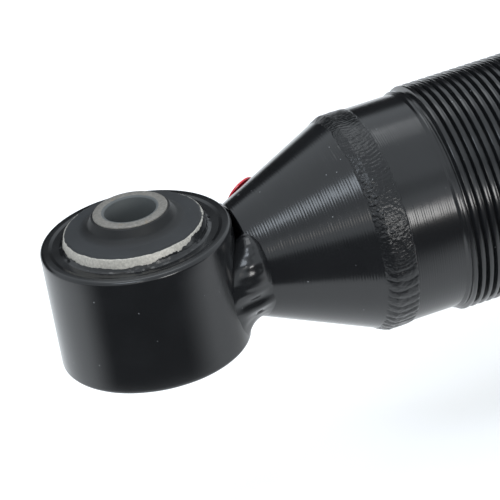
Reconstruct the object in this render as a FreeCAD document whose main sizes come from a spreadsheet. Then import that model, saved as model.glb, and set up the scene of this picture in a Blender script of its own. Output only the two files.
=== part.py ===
"""Coil-over rear shock absorber: monotube damper, threaded body, coil spring and ball-jointed top mount.

Frame, in millimetres: the origin is the centre of the lower eye's bolt bore, +Z runs along that bore, and
+X runs along the shock from the lower eye to the top mount. The shock is drawn fully extended.
"""

import FreeCAD
import Part
import math
import os
import Sketcher

DEGREES_PER_TURN = 360

# Driving dimensions: alias, value. Lengths are in millimetres, angles in degrees, the rest are counts.
DRIVING = [
    # lower eye and its rubber bush, along Z
    ("bolt_bore", 12.2),
    ("bolt_bore_chamfer", 0.5),
    ("inner_sleeve_od", 17.6),
    ("inner_sleeve_length", 43.5),
    ("eye_od", 45),
    ("eye_height", 29.6),
    ("eye_edge_round", 0.8),
    ("eye_mouth_chamfer", 1.0),
    ("bush_od", 34),
    ("bush_shell_wall", 1.2),
    ("bush_shell_length", 35),
    ("bush_shell_lip", 0.6),
    ("bush_clearance", 0.05),
    # closing cone between the eye and the damper tube
    ("cone_start", 23.3),
    ("cone_nose_od", 27),
    ("cone_end", 52.4),
    ("cone_cavity_start", 34),
    ("cone_cavity_nose", 17),
    ("cone_spigot_length", 6),
    ("cone_spigot_wall", 4),
    ("nose_weld_start", 14),
    ("nose_weld_end", 27.5),
    ("nose_weld_od", 30.6),
    ("nose_weld_unwelded", 13),
    ("bead_start", 50),
    ("bead_end", 58.3),
    ("bead_height", 0.6),
    # gas charging port in the cone
    ("port_station", 31),
    ("port_angle", 33),
    ("port_bore", 5),
    ("port_depth", 14),
    ("port_screw_length", 5),
    ("port_screw_sink", 3),
    ("port_cap_od", 9),
    ("port_cap_height", 2.8),
    ("port_cap_stem", 2.5),
    # damper tube with its outside thread, M55 x 2
    ("thread_od", 55),
    ("thread_depth", 1.3),
    ("thread_start", 70),
    ("thread_end", 236),
    ("tube_end", 250),
    ("tube_bore", 46),
    ("ring_groove_start", 242.6),
    ("ring_groove_width", 2.2),
    ("ring_groove_depth", 1.2),
    # head of the damper: guide, seals, circlip, cap
    ("head_start", 220),
    ("head_end", 242.5),
    ("head_clearance", 0.05),
    ("guide_bush_od", 16.4),
    ("guide_bush_length", 12),
    ("rod_seal_od", 24),
    ("rod_seal_length", 6),
    ("head_ring_section", 2.4),
    ("head_ring_station", 236),
    ("cap_flange_end", 253),
    ("cap_spigot_start", 245.2),
    ("wiper_length", 2.4),
    ("wiper_od", 19),
    # piston rod and piston
    ("rod_od", 14),
    ("rod_clearance", 0.04),
    ("rod_stud_od", 10),
    ("rod_stud_start", 180),
    ("piston_shoulder", 206),
    ("piston_length", 12),
    ("piston_land_od", 44.6),
    ("band_length", 8),
    ("band_wall", 0.6),
    ("band_play", 0.1),
    ("piston_port_od", 4),
    ("piston_port_pcd", 30),
    ("piston_port_count", 6),
    ("shim_thickness", 0.4),
    ("shim_count", 5),
    ("shim_step", 2.5),
    ("shim_largest", 38),
    ("stop_plate_length", 2),
    ("stop_plate_od", 34),
    ("top_out_end", 219.6),
    ("top_out_od", 27),
    ("piston_nut_length", 8),
    ("piston_nut_flats", 17),
    # floating piston over the gas chamber
    ("floating_start", 72),
    ("floating_length", 16),
    ("floating_cup_wall", 5),
    ("floating_ring_section", 3),
    # spring seats on the body
    ("lock_ring_start", 158),
    ("lock_ring_length", 9),
    ("collar_od", 74),
    ("collar_clearance", 0.1),
    ("perch_collar_length", 11),
    ("perch_flange_start", 179),
    ("perch_flange_end", 184),
    ("perch_flange_od", 92),
    ("perch_register_od", 63),
    ("perch_register_end", 190),
    ("slot_width", 7),
    ("slot_depth", 3.5),
    ("slot_count", 8),
    ("lock_screw_od", 5),
    ("lock_screw_length", 8),
    ("pad_thickness", 2.5),
    # coil spring
    ("spring_length", 180),
    ("spring_mean_od", 76),
    ("spring_wire", 11),
    ("spring_turns", 7),
    # upper seat, bump stop and rod end
    ("upper_seat_od", 92),
    ("upper_seat_wall", 4),
    ("seat_hub_start", 378),
    ("seat_hub_end", 383),
    ("seat_hub_od", 36),
    ("seat_register_length", 8),
    ("bump_start", 338.6),
    ("bump_od", 32),
    ("bump_waist", 26),
    ("bump_cup_thickness", 2),
    ("bump_cup_od", 40),
    ("rod_end_od", 12),
    ("rod_end", 424),
    # ball joint and plate of the top mount
    ("ball_centre", 395),
    ("ball_od", 24),
    ("ball_width", 12),
    ("spacer_od", 16.5),
    ("upper_spacer_length", 4),
    ("top_washer_od", 24),
    ("top_washer_length", 2),
    ("top_nut_length", 10),
    ("top_nut_flats", 19),
    ("liner_wall", 0.6),
    ("joint_clearance", 0.05),
    ("race_od", 32),
    ("race_width", 10),
    ("plate_start", 389),
    ("plate_thickness", 8),
    ("hub_od", 44),
    ("hub_height", 5),
    ("snap_ring_thickness", 1.2),
    ("snap_ring_width", 1.9),
    ("lobe_radius", 13),
    ("stud_pcd", 92),
    ("stud_count", 3),
    ("stud_od", 8),
    ("stud_shank_od", 9),
    ("stud_reach", 22),
    ("stud_head_od", 14),
    ("stud_head_length", 3),
]


class Dim:
    """A length that knows both its value and the spreadsheet expression that gives it."""

    def __init__(self, value, text):
        self.value = float(value)
        self.text = text

    def __add__(self, other):
        other = as_dim(other)
        return Dim(self.value + other.value, f"({self.text} + {other.text})")

    def __sub__(self, other):
        other = as_dim(other)
        return Dim(self.value - other.value, f"({self.text} - {other.text})")

    def __mul__(self, other):
        other = as_dim(other)
        return Dim(self.value * other.value, f"({self.text} * {other.text})")

    def __truediv__(self, other):
        other = as_dim(other)
        return Dim(self.value / other.value, f"({self.text} / {other.text})")

    def __neg__(self):
        return Dim(-self.value, f"(0 - {self.text})")


def as_dim(number):
    """Takes a plain number or a Dim and gives a Dim."""
    return number if isinstance(number, Dim) else Dim(number, repr(number))


doc = FreeCAD.newDocument("rear_shock")
sheet = doc.addObject("Spreadsheet::Sheet", "Sheet")
D = {}
for row, (alias, number) in enumerate(DRIVING, start=1):
    sheet.set(f"A{row}", str(number))
    sheet.setAlias(f"A{row}", alias)
    D[alias] = Dim(number, f"Sheet.{alias}")
doc.recompute()

ZERO = as_dim(0)
ORIGIN = FreeCAD.Vector(0, 0, 0)
X_AXIS = FreeCAD.Vector(1, 0, 0)
Y_AXIS = FreeCAD.Vector(0, 1, 0)
Z_AXIS = FreeCAD.Vector(0, 0, 1)
ALONG_SHOCK = FreeCAD.Rotation(Z_AXIS, X_AXIS)
NODES = []


def node(thing, label):
    """Names a finished object as one of the shock's pieces."""
    thing.Label = label
    NODES.append(thing)
    return thing


def bind(thing, settings):
    """Sets properties from Dims, each bound to its expression."""
    for path, size in settings.items():
        thing.setExpression(path, as_dim(size).text)
    return thing


def place_along_shock(thing, station):
    """Turns an object's own Z onto the shock's axis, with its base at a station along it."""
    thing.Placement = FreeCAD.Placement(ORIGIN, ALONG_SHOCK)
    thing.setExpression("Placement.Base.x", as_dim(station).text)
    return thing


def pin_point(sketch, line, x, y):
    """Fixes the start of a sketch line at (x, y), with both coordinates bound to the sheet."""
    for kind, size, axis in (("DistanceX", x, -2), ("DistanceY", y, -1)):
        if abs(size.value) < 1e-9:
            sketch.addConstraint(Sketcher.Constraint("PointOnObject", line, 1, axis))
            continue
        index = sketch.addConstraint(Sketcher.Constraint(kind, -1, 1, line, 1, size.value))
        sketch.setExpression(f"Constraints[{index}]", size.text)


def outline_sketch(body, role, points):
    """Adds a closed outline of straight lines on one of a body's own origin planes."""
    plane = next(f for f in body.Origin.OriginFeatures if f.Role == role)
    sketch = body.newObject("Sketcher::SketchObject", f"{body.Name}_outline")
    sketch.AttachmentSupport = [(plane, "")]
    sketch.MapMode = "FlatFace"
    points = [(as_dim(x), as_dim(y)) for x, y in points]
    corners = [FreeCAD.Vector(x.value, y.value, 0) for x, y in points]
    count = len(corners)
    for i in range(count):
        sketch.addGeometry(Part.LineSegment(corners[i], corners[(i + 1) % count]))
    for i in range(count):
        sketch.addConstraint(Sketcher.Constraint("Coincident", i, 2, (i + 1) % count, 1))
    for i, (x, y) in enumerate(points):
        pin_point(sketch, i, x, y)
    return sketch


def turned(name, points, about="X"):
    """A lathe-turned body: (station, radius) points about the shock's axis X.

    About the eye's axis Z the points are (radius, height).
    """
    body = doc.addObject("PartDesign::Body", name)
    role, axis = ("XY_Plane", "H_Axis") if about == "X" else ("XZ_Plane", "V_Axis")
    sketch = outline_sketch(body, role, points)
    turn = body.newObject("PartDesign::Revolution", f"{name}_turn")
    turn.Profile = (sketch, [""])
    turn.ReferenceAxis = (sketch, [axis])
    turn.Angle = DEGREES_PER_TURN
    doc.recompute()
    return body


def ring(name, start, end, outer, inner):
    """A plain turned ring about the shock's axis, from two stations and two radii."""
    return turned(name, [(start, inner), (end, inner), (end, outer), (start, outer)])


def cylinder(name, radius, height, station=None):
    """A Part cylinder; with a station it lies along the shock's axis from there."""
    rod = doc.addObject("Part::Cylinder", name)
    bind(rod, {"Radius": radius, "Height": height})
    if station is not None:
        place_along_shock(rod, station)
    return rod


def cut(name, base, tool):
    """Base less tool."""
    result = doc.addObject("Part::Cut", name)
    result.Base = base
    result.Tool = tool
    return result


def common(name, base, tool):
    """What base and tool share."""
    result = doc.addObject("Part::Common", name)
    result.Base = base
    result.Tool = tool
    return result


def gather(name, pieces):
    """Several separate solids as one object."""
    group = doc.addObject("Part::Compound", name)
    group.Links = pieces
    return group


def around_shock(thing, angle):
    """Turns an object about the shock's axis, keeping its place."""
    turn = FreeCAD.Placement(ORIGIN, FreeCAD.Rotation(X_AXIS, angle))
    thing.Placement = turn.multiply(thing.Placement)
    return thing


def hexagon_nut(name, start, length, flats, bore_radius, chamfer=1.2):
    """A hexagon nut along the shock's axis, its corners chamfered at both ends."""
    prism = doc.addObject("Part::Prism", f"{name}_prism")
    prism.Polygon = 6
    across_corners = flats / as_dim(math.sqrt(3))
    bind(prism, {"Circumradius": across_corners, "Height": length})
    place_along_shock(prism, start)
    end = start + length
    face = flats / 2
    blank = turned(
        f"{name}_blank",
        [
            (start, bore_radius),
            (end, bore_radius),
            (end, face),
            (end - chamfer * 0.6, face + chamfer),
            (end - chamfer * 0.6, across_corners + 1),
            (start + chamfer * 0.6, across_corners + 1),
            (start + chamfer * 0.6, face + chamfer),
            (start, face),
        ],
    )
    return common(f"{name}_nut", prism, blank)


# ---------------------------------------------------------------- lower eye and bush, about Z

eye_half = D["eye_height"] / 2
eye_radius = D["eye_od"] / 2
bush_radius = D["bush_od"] / 2
sleeve_radius = D["inner_sleeve_od"] / 2
sleeve_half = D["inner_sleeve_length"] / 2
bore_radius = D["bolt_bore"] / 2


def make_lower_eye():
    """The steel ring welded to the cone; the bush is pressed into it."""
    mouth = D["eye_mouth_chamfer"]
    body = turned(
        "lower_eye",
        [
            (bush_radius, -eye_half + mouth),
            (bush_radius + mouth, -eye_half),
            (eye_radius, -eye_half),
            (eye_radius, eye_half),
            (bush_radius + mouth, eye_half),
            (bush_radius, eye_half - mouth),
        ],
        about="Z",
    )
    turn = body.Tip
    edges = [
        f"Edge{i}"
        for i, edge in enumerate(turn.Shape.Edges, start=1)
        if isinstance(edge.Curve, Part.Circle) and abs(edge.Curve.Radius - eye_radius.value) < 1e-6
    ]
    rounding = body.newObject("PartDesign::Fillet", "lower_eye_rounding")
    rounding.Base = (turn, edges)
    bind(rounding, {"Radius": D["eye_edge_round"]})
    doc.recompute()
    node(body, "lower_eye")


def make_bush():
    """Outer shell, moulded rubber and inner sleeve of the eye's bush."""
    shell_half = D["bush_shell_length"] / 2
    shell_inner = bush_radius - D["bush_shell_wall"]
    lip = D["bush_shell_lip"]
    swage = as_dim(2.2)
    node(
        turned(
            "bush_outer_shell",
            [
                (shell_inner, -shell_half + swage),
                (shell_inner - lip, -shell_half),
                (bush_radius - lip, -shell_half),
                (bush_radius, -shell_half + swage),
                (bush_radius, shell_half - swage),
                (bush_radius - lip, shell_half),
                (shell_inner - lip, shell_half),
                (shell_inner, shell_half - swage),
            ],
            about="Z",
        ),
        "bush_outer_shell",
    )
    rubber_inner = sleeve_radius + D["bush_clearance"]
    shoulder = sleeve_half - 0.4
    foot = shell_half + 0.5
    half_outline = [
        (shell_inner, shell_half - swage),
        (shell_inner - lip, shell_half),
        (bush_radius - 0.7, shell_half),
        (bush_radius - 1.0, foot),
        (sleeve_radius + 5.0, foot + 0.35),
        (sleeve_radius + 2.2, foot + 1.0),
        (sleeve_radius + 1.0, shoulder - 0.9),
        (rubber_inner, shoulder),
    ]
    lower = [(radius, -height) for radius, height in reversed(half_outline)]
    node(turned("bush_rubber", half_outline + lower, about="Z"), "bush_rubber")
    edge = D["bolt_bore_chamfer"]
    outer_edge = as_dim(0.25)
    half_sleeve = [
        (sleeve_radius, sleeve_half - outer_edge),
        (sleeve_radius - outer_edge, sleeve_half),
        (bore_radius + edge, sleeve_half),
        (bore_radius, sleeve_half - edge),
    ]
    lower_sleeve = [(radius, -height) for radius, height in reversed(half_sleeve)]
    node(turned("bush_inner_sleeve", half_sleeve + lower_sleeve, about="Z"), "bush_inner_sleeve")


# ---------------------------------------------------------------- cone, welds and charging port

root_radius = D["thread_od"] / 2 - D["thread_depth"]
nose_radius = D["cone_nose_od"] / 2
tube_inner = D["tube_bore"] / 2
cone_slope = (root_radius - nose_radius) / (D["cone_end"] - D["cone_start"])


def cone_radius(station):
    """Outside radius of the cone at a station."""
    return nose_radius + cone_slope * (station - D["cone_start"])


def port_frame():
    """Placement with Z along the port's outward normal and the origin on the cone's surface."""
    station = D["port_station"].value
    radius = cone_radius(D["port_station"]).value
    tilt = math.atan(cone_slope.value)
    around = math.radians(D["port_angle"].value)
    outward = FreeCAD.Vector(0, math.cos(around), math.sin(around))
    normal = outward * math.cos(tilt) - X_AXIS * math.sin(tilt)
    place = X_AXIS * station + outward * radius
    return FreeCAD.Placement(place, FreeCAD.Rotation(Z_AXIS, normal))


def shifted(frame, height):
    """A frame moved along its own Z."""
    return frame.multiply(FreeCAD.Placement(Z_AXIS * height, FreeCAD.Rotation()))


def make_cone():
    """Hollow cone that closes the tube, drilled for the charging port."""
    spigot_inner = tube_inner - D["cone_spigot_wall"]
    spigot_end = D["cone_end"] + D["cone_spigot_length"]
    solid_cone = turned(
        "cone_blank",
        [
            (D["cone_start"], 0),
            (D["cone_cavity_start"], 0),
            (D["cone_cavity_start"], D["cone_cavity_nose"] / 2),
            (D["bead_start"], spigot_inner),
            (spigot_end, spigot_inner),
            (spigot_end, tube_inner),
            (D["cone_end"], tube_inner),
            (D["cone_end"], root_radius),
            (D["cone_start"], nose_radius),
        ],
    )
    drill = cylinder("port_drill", D["port_bore"] / 2, D["port_depth"] + 2)
    drill.Placement = shifted(port_frame(), -D["port_depth"].value)
    node(cut("lower_cone", solid_cone, drill), "lower_cone")


def make_port_parts():
    """Sealing screw in the charging port and the domed cap over it."""
    screw = cylinder("port_screw", D["port_bore"] / 2, D["port_screw_length"])
    screw_depth = (D["port_screw_sink"] + D["port_screw_length"]).value
    screw.Placement = shifted(port_frame(), -screw_depth)
    socket = doc.addObject("Part::Prism", "port_socket")
    socket.Polygon = 6
    bind(socket, {"Circumradius": D["port_bore"] / 4, "Height": D["port_screw_length"] / 2})
    socket.Placement = shifted(port_frame(), -screw_depth + D["port_screw_length"].value / 2)
    node(cut("charge_port_screw", screw, socket), "charge_port_screw")
    cap_radius = D["port_cap_od"] / 2
    crown = D["port_cap_height"]
    stem = D["port_bore"] / 2
    cap = turned(
        "charge_port_cap",
        [
            (0, -D["port_cap_stem"]),
            (stem, -D["port_cap_stem"]),
            (stem, 0.6),
            (cap_radius, 0.6),
            (cap_radius, crown * 0.55),
            (cap_radius * 0.86, crown * 0.8),
            (cap_radius * 0.55, crown * 0.95),
            (0, crown),
        ],
        about="Z",
    )
    cap.Placement = port_frame()
    node(cap, "charge_port_cap")


def make_nose_weld():
    """The two fillets of weld, one each side, that fill the wedge between the eye and the cone's nose."""
    start, end = D["nose_weld_start"], D["nose_weld_end"]
    weld_radius = D["nose_weld_od"] / 2
    blank = turned(
        "nose_weld_blank",
        [
            (start, 0),
            (D["cone_start"], 0),
            (D["cone_start"], nose_radius),
            (end, cone_radius(end)),
            (D["cone_start"], weld_radius),
            (start, weld_radius - 0.6),
        ],
    )
    eye = doc.addObject("Part::Cylinder", "nose_weld_eye")
    bind(eye, {"Radius": eye_radius, "Height": D["eye_height"] * 2})
    eye.setExpression("Placement.Base.z", (-D["eye_height"]).text)
    gap = doc.addObject("Part::Box", "nose_weld_gap")
    bind(gap, {"Length": end, "Width": D["nose_weld_unwelded"], "Height": D["nose_weld_od"] * 2})
    gap.setExpression("Placement.Base.y", (-D["nose_weld_unwelded"] / 2).text)
    gap.setExpression("Placement.Base.z", (-D["nose_weld_od"]).text)
    clear_of_eye = cut("nose_weld_clear", blank, eye)
    node(cut("nose_weld", clear_of_eye, gap), "nose_weld")


def make_cone_weld():
    """The circumferential weld bead over the joint of cone and tube."""
    start, end, high = D["bead_start"], D["bead_end"], D["bead_height"]
    joint = D["cone_end"]
    node(
        turned(
            "cone_weld",
            [
                (start, cone_radius(start)),
                (joint, root_radius),
                (end, root_radius),
                (end - 1.0, root_radius + high * 0.8),
                (joint + 1.0, root_radius + high),
                (joint - 1.0, root_radius + high * 0.5),
                (start + 1.2, cone_radius(start + 1.2) + high * 0.7),
            ],
        ),
        "cone_weld",
    )


# ---------------------------------------------------------------- damper tube and head


def make_damper_tube():
    """Pressure tube with the spring seat's thread on its outside, drawn at the thread's crest."""
    crest = D["thread_od"] / 2
    run_out = D["thread_depth"]
    groove_start = D["ring_groove_start"]
    groove_end = groove_start + D["ring_groove_width"]
    groove_radius = tube_inner + D["ring_groove_depth"]
    node(
        turned(
            "damper_tube",
            [
                (D["cone_end"], tube_inner),
                (groove_start, tube_inner),
                (groove_start, groove_radius),
                (groove_end, groove_radius),
                (groove_end, tube_inner),
                (D["tube_end"], tube_inner),
                (D["tube_end"], root_radius),
                (D["thread_end"], root_radius),
                (D["thread_end"] - run_out, crest),
                (D["thread_start"] + run_out, crest),
                (D["thread_start"], root_radius),
                (D["cone_end"], root_radius),
            ],
        ),
        "damper_tube",
    )


rod_radius = D["rod_od"] / 2
rod_hole = rod_radius + D["rod_clearance"]


def make_head():
    """Rod guide with its bush, rod seal and O-ring, held by a snap ring under a cap with a wiper."""
    start, end = D["head_start"], D["head_end"]
    head_radius = tube_inner - D["head_clearance"]
    bush_outer = D["guide_bush_od"] / 2
    bush_end = start + D["guide_bush_length"]
    seal_start = end - D["rod_seal_length"]
    seal_outer = D["rod_seal_od"] / 2
    section = D["head_ring_section"]
    groove = D["head_ring_station"] - section / 2
    node(
        turned(
            "rod_guide",
            [
                (start, bush_outer),
                (bush_end, bush_outer),
                (bush_end, rod_hole + 0.2),
                (seal_start, rod_hole + 0.2),
                (seal_start, seal_outer),
                (end, seal_outer),
                (end, head_radius),
                (groove + section, head_radius),
                (groove + section, head_radius - section * 0.9),
                (groove, head_radius - section * 0.9),
                (groove, head_radius),
                (start + 1.5, head_radius),
                (start, head_radius - 1.5),
            ],
        ),
        "rod_guide",
    )
    node(ring("guide_bush", start, bush_end, bush_outer, rod_hole), "guide_bush")
    lip = seal_start + D["rod_seal_length"] / 2
    node(
        turned(
            "rod_seal",
            [
                (seal_start, rod_hole + 1.5),
                (lip, rod_hole),
                (end, rod_hole + 1.2),
                (end, seal_outer),
                (seal_start, seal_outer),
            ],
        ),
        "rod_seal",
    )
    node(
        ring("guide_o_ring", groove, groove + section, head_radius, head_radius - section * 0.9),
        "guide_o_ring",
    )
    snap_start = D["ring_groove_start"]
    snap = ring(
        "snap_ring_blank",
        snap_start,
        snap_start + D["ring_groove_width"] * 0.9,
        tube_inner + D["ring_groove_depth"] * 0.9,
        tube_inner - 1.6,
    )
    mouth = doc.addObject("Part::Box", "snap_ring_mouth")
    bind(mouth, {"Length": 4, "Width": D["tube_bore"], "Height": 6})
    bind(mouth, {"Placement.Base.x": snap_start - 1, "Placement.Base.z": -3})
    node(cut("head_snap_ring", snap, mouth), "head_snap_ring")
    flange = D["cap_flange_end"]
    wiper_start = flange - D["wiper_length"]
    wiper_outer = D["wiper_od"] / 2
    node(
        turned(
            "tube_cap",
            [
                (D["cap_spigot_start"], rod_hole + 1),
                (wiper_start, rod_hole + 1),
                (wiper_start, wiper_outer),
                (flange, wiper_outer),
                (flange, root_radius - 1.2),
                (flange - 1.2, root_radius),
                (D["tube_end"], root_radius),
                (D["tube_end"], head_radius),
                (D["cap_spigot_start"], head_radius),
            ],
        ),
        "tube_cap",
    )
    node(
        turned(
            "rod_wiper",
            [
                (wiper_start, rod_hole + 1.2),
                (flange, rod_hole),
                (flange, wiper_outer),
                (wiper_start, wiper_outer),
            ],
        ),
        "rod_wiper",
    )


# ---------------------------------------------------------------- piston, rod and floating piston

stud_radius = D["rod_stud_od"] / 2
stack_length = D["shim_thickness"] * D["shim_count"]
piston_top = D["piston_shoulder"] - D["stop_plate_length"] - stack_length
piston_bottom = piston_top - D["piston_length"]


def make_piston():
    """Ported piston with a groove for its sliding band."""
    land = D["piston_land_od"] / 2
    wide = tube_inner - D["head_clearance"] * 4
    band_start = piston_bottom + (D["piston_length"] - D["band_length"]) / 2
    band_end = band_start + D["band_length"]
    blank = turned(
        "piston_blank",
        [
            (piston_bottom, stud_radius),
            (piston_top, stud_radius),
            (piston_top, wide - 0.8),
            (piston_top - 0.8, wide),
            (band_end + D["band_play"], wide),
            (band_end + D["band_play"], land),
            (band_start - D["band_play"], land),
            (band_start - D["band_play"], wide),
            (piston_bottom + 0.8, wide),
            (piston_bottom, wide - 0.8),
        ],
    )
    ports = []
    for i in range(int(D["piston_port_count"].value)):
        port = cylinder("piston_port", D["piston_port_od"] / 2, D["piston_length"] * 2)
        angle = DEGREES_PER_TURN * i / D["piston_port_count"].value
        port.Placement = FreeCAD.Placement(ORIGIN, ALONG_SHOCK)
        reach = D["piston_port_pcd"].value / 2
        port.Placement.Base = FreeCAD.Vector(piston_bottom.value - 6, reach, 0)
        ports.append(around_shock(port, angle))
    node(cut("piston", blank, gather("piston_ports", ports)), "piston")
    band_outer = tube_inner - D["head_clearance"]
    node(ring("piston_band", band_start, band_end, band_outer, band_outer - D["band_wall"]), "piston_band")


def make_shims(label, face, direction):
    """A stack of flexing discs on the piston, each smaller than the last."""
    discs = []
    for i in range(int(D["shim_count"].value)):
        near = face + D["shim_thickness"] * (i * direction)
        far = near + D["shim_thickness"] * direction
        start, end = (near, far) if direction > 0 else (far, near)
        radius = D["shim_largest"] / 2 - D["shim_step"] * i
        discs.append(ring(f"{label}_{i}", start, end, radius, stud_radius))
    node(gather(label, discs), label)


def make_rod():
    """Polished rod, stepped at both ends, with the parts clamped on its lower stud."""
    seat = D["seat_hub_start"]
    end_radius = D["rod_end_od"] / 2
    socket = as_dim(2.5)
    node(
        turned(
            "piston_rod",
            [
                (D["rod_stud_start"], 0),
                (D["rod_end"] - 6, 0),
                (D["rod_end"] - 6, socket),
                (D["rod_end"], socket),
                (D["rod_end"], end_radius - 1),
                (D["rod_end"] - 1, end_radius),
                (seat, end_radius),
                (seat, rod_radius),
                (D["piston_shoulder"], rod_radius),
                (D["piston_shoulder"], stud_radius),
                (D["rod_stud_start"] + 1, stud_radius),
                (D["rod_stud_start"], stud_radius - 1),
            ],
        ),
        "piston_rod",
    )
    shoulder = D["piston_shoulder"]
    plate_start = shoulder - D["stop_plate_length"]
    node(ring("top_out_plate", plate_start, shoulder, D["stop_plate_od"] / 2, stud_radius), "top_out_plate")
    bumper = D["top_out_od"] / 2
    bumper_end = D["top_out_end"]
    node(
        turned(
            "top_out_bumper",
            [
                (shoulder, rod_radius),
                (bumper_end, rod_radius),
                (bumper_end, bumper - 2),
                (bumper_end - 2, bumper),
                (shoulder + 2, bumper),
                (shoulder, bumper - 2),
            ],
        ),
        "top_out_bumper",
    )
    nut_end = piston_bottom - stack_length
    nut_start = nut_end - D["piston_nut_length"]
    node(
        hexagon_nut("piston_nut", nut_start, D["piston_nut_length"], D["piston_nut_flats"], stud_radius),
        "piston_nut",
    )


def make_floating_piston():
    """Cup that parts the gas from the oil, with its O-ring."""
    start = D["floating_start"]
    end = start + D["floating_length"]
    radius = tube_inner - D["head_clearance"]
    wall = D["floating_cup_wall"]
    section = D["floating_ring_section"]
    groove = start + D["floating_length"] / 2 - section / 2
    inner = radius - section * 0.9
    node(
        turned(
            "floating_piston",
            [
                (start + wall * 2, 0),
                (end, 0),
                (end, radius - 1),
                (end - 1, radius),
                (groove + section, radius),
                (groove + section, inner),
                (groove, inner),
                (groove, radius),
                (start, radius),
                (start, radius - wall),
                (start + wall * 2, radius - wall * 1.6),
            ],
        ),
        "floating_piston",
    )
    node(ring("floating_o_ring", groove, groove + section, radius, inner), "floating_o_ring")


# ---------------------------------------------------------------- spring seats on the body

collar_inner = D["thread_od"] / 2 + D["collar_clearance"]
collar_radius = D["collar_od"] / 2


def spanner_slots(name, start, length):
    """Boxes that cut the spanner slots round a collar."""
    slots = []
    for i in range(int(D["slot_count"].value)):
        slot = doc.addObject("Part::Box", f"{name}_slot")
        bind(slot, {"Length": length + 2, "Width": D["slot_width"], "Height": D["slot_depth"] + 10})
        corner = FreeCAD.Vector(
            start.value - 1,
            -D["slot_width"].value / 2,
            (collar_radius - D["slot_depth"]).value,
        )
        slot.Placement = FreeCAD.Placement(corner, FreeCAD.Rotation())
        slots.append(around_shock(slot, DEGREES_PER_TURN * i / D["slot_count"].value))
    return gather(f"{name}_slots", slots)


def make_lock_ring():
    """Slotted ring that jams against the spring perch from below, with its grub screw."""
    start = D["lock_ring_start"]
    end = start + D["lock_ring_length"]
    edge = as_dim(0.8)
    blank = turned(
        "lock_ring_blank",
        [
            (start, collar_inner + edge),
            (start + edge, collar_inner),
            (end, collar_inner),
            (end, collar_radius - edge),
            (end - edge, collar_radius),
            (start + edge, collar_radius),
            (start, collar_radius - edge),
        ],
    )
    slotted = cut("lock_ring_slotted", blank, spanner_slots("lock_ring", start, D["lock_ring_length"]))
    turn_between_slots = 22.5
    screw_height = collar_inner.value + 0.2
    middle = (start + D["lock_ring_length"] / 2).value
    screws = []
    for name, length in (("lock_screw_hole", 12), ("lock_screw", D["lock_screw_length"])):
        screw = cylinder(name, D["lock_screw_od"] / 2, length)
        screw.Placement = FreeCAD.Placement(FreeCAD.Vector(middle, 0, screw_height), FreeCAD.Rotation())
        screws.append(around_shock(screw, turn_between_slots))
    node(cut("lock_ring", slotted, screws[0]), "lock_ring")
    node(screws[1], "lock_screw")


def make_spring_perch():
    """Threaded spring seat: a slotted collar, a flange and a register for the coil's bore."""
    start = D["lock_ring_start"] + D["lock_ring_length"]
    collar_end = start + D["perch_collar_length"]
    flange_start, flange_end = D["perch_flange_start"], D["perch_flange_end"]
    flange = D["perch_flange_od"] / 2
    register = D["perch_register_od"] / 2
    edge = as_dim(0.8)
    blank = turned(
        "spring_perch_blank",
        [
            (start, collar_inner),
            (D["perch_register_end"], collar_inner),
            (D["perch_register_end"], register - 1.2),
            (D["perch_register_end"] - 1.2, register),
            (flange_end, register),
            (flange_end, flange - edge),
            (flange_end - edge, flange),
            (flange_start + edge, flange),
            (flange_start, flange - edge),
            (collar_end, collar_radius),
            (start + edge, collar_radius),
            (start, collar_radius - edge),
        ],
    )
    slots = spanner_slots("spring_perch", start, D["perch_collar_length"] - 1)
    node(cut("spring_perch", blank, slots), "spring_perch")
    node(
        ring(
            "lower_spring_pad",
            flange_end + 0.05,
            flange_end + D["pad_thickness"],
            flange - 1,
            register + 0.2,
        ),
        "lower_spring_pad",
    )


spring_start = D["perch_flange_end"] + D["pad_thickness"]
spring_end = spring_start + D["spring_length"]


def make_spring():
    """Round-wire coil spring, its ends ground flat."""
    wire = D["spring_wire"] / 2
    mean = D["spring_mean_od"] / 2
    coil = doc.addObject("Part::Helix", "spring_helix")
    height = D["spring_length"] - wire
    bind(coil, {"Radius": mean, "Height": height, "Pitch": height / D["spring_turns"]})
    section = doc.addObject("Part::Circle", "spring_section")
    bind(section, {"Radius": wire})
    section.Placement = FreeCAD.Placement(ORIGIN, FreeCAD.Rotation(X_AXIS, 90))
    section.setExpression("Placement.Base.x", mean.text)
    swept = doc.addObject("Part::Sweep", "spring_sweep")
    swept.Sections = [section]
    swept.Spine = (coil, [])
    swept.Solid = True
    swept.Frenet = True
    envelope = cylinder("spring_envelope", mean + wire * 2, D["spring_length"])
    envelope.setExpression("Placement.Base.z", (-wire / 2).text)
    ground = common("coil_spring", swept, envelope)
    place_along_shock(ground, spring_start + wire / 2)
    node(ground, "coil_spring")


# ---------------------------------------------------------------- upper seat, bump stop, ball joint

end_radius = D["rod_end_od"] / 2
end_hole = end_radius + D["joint_clearance"]


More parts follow.
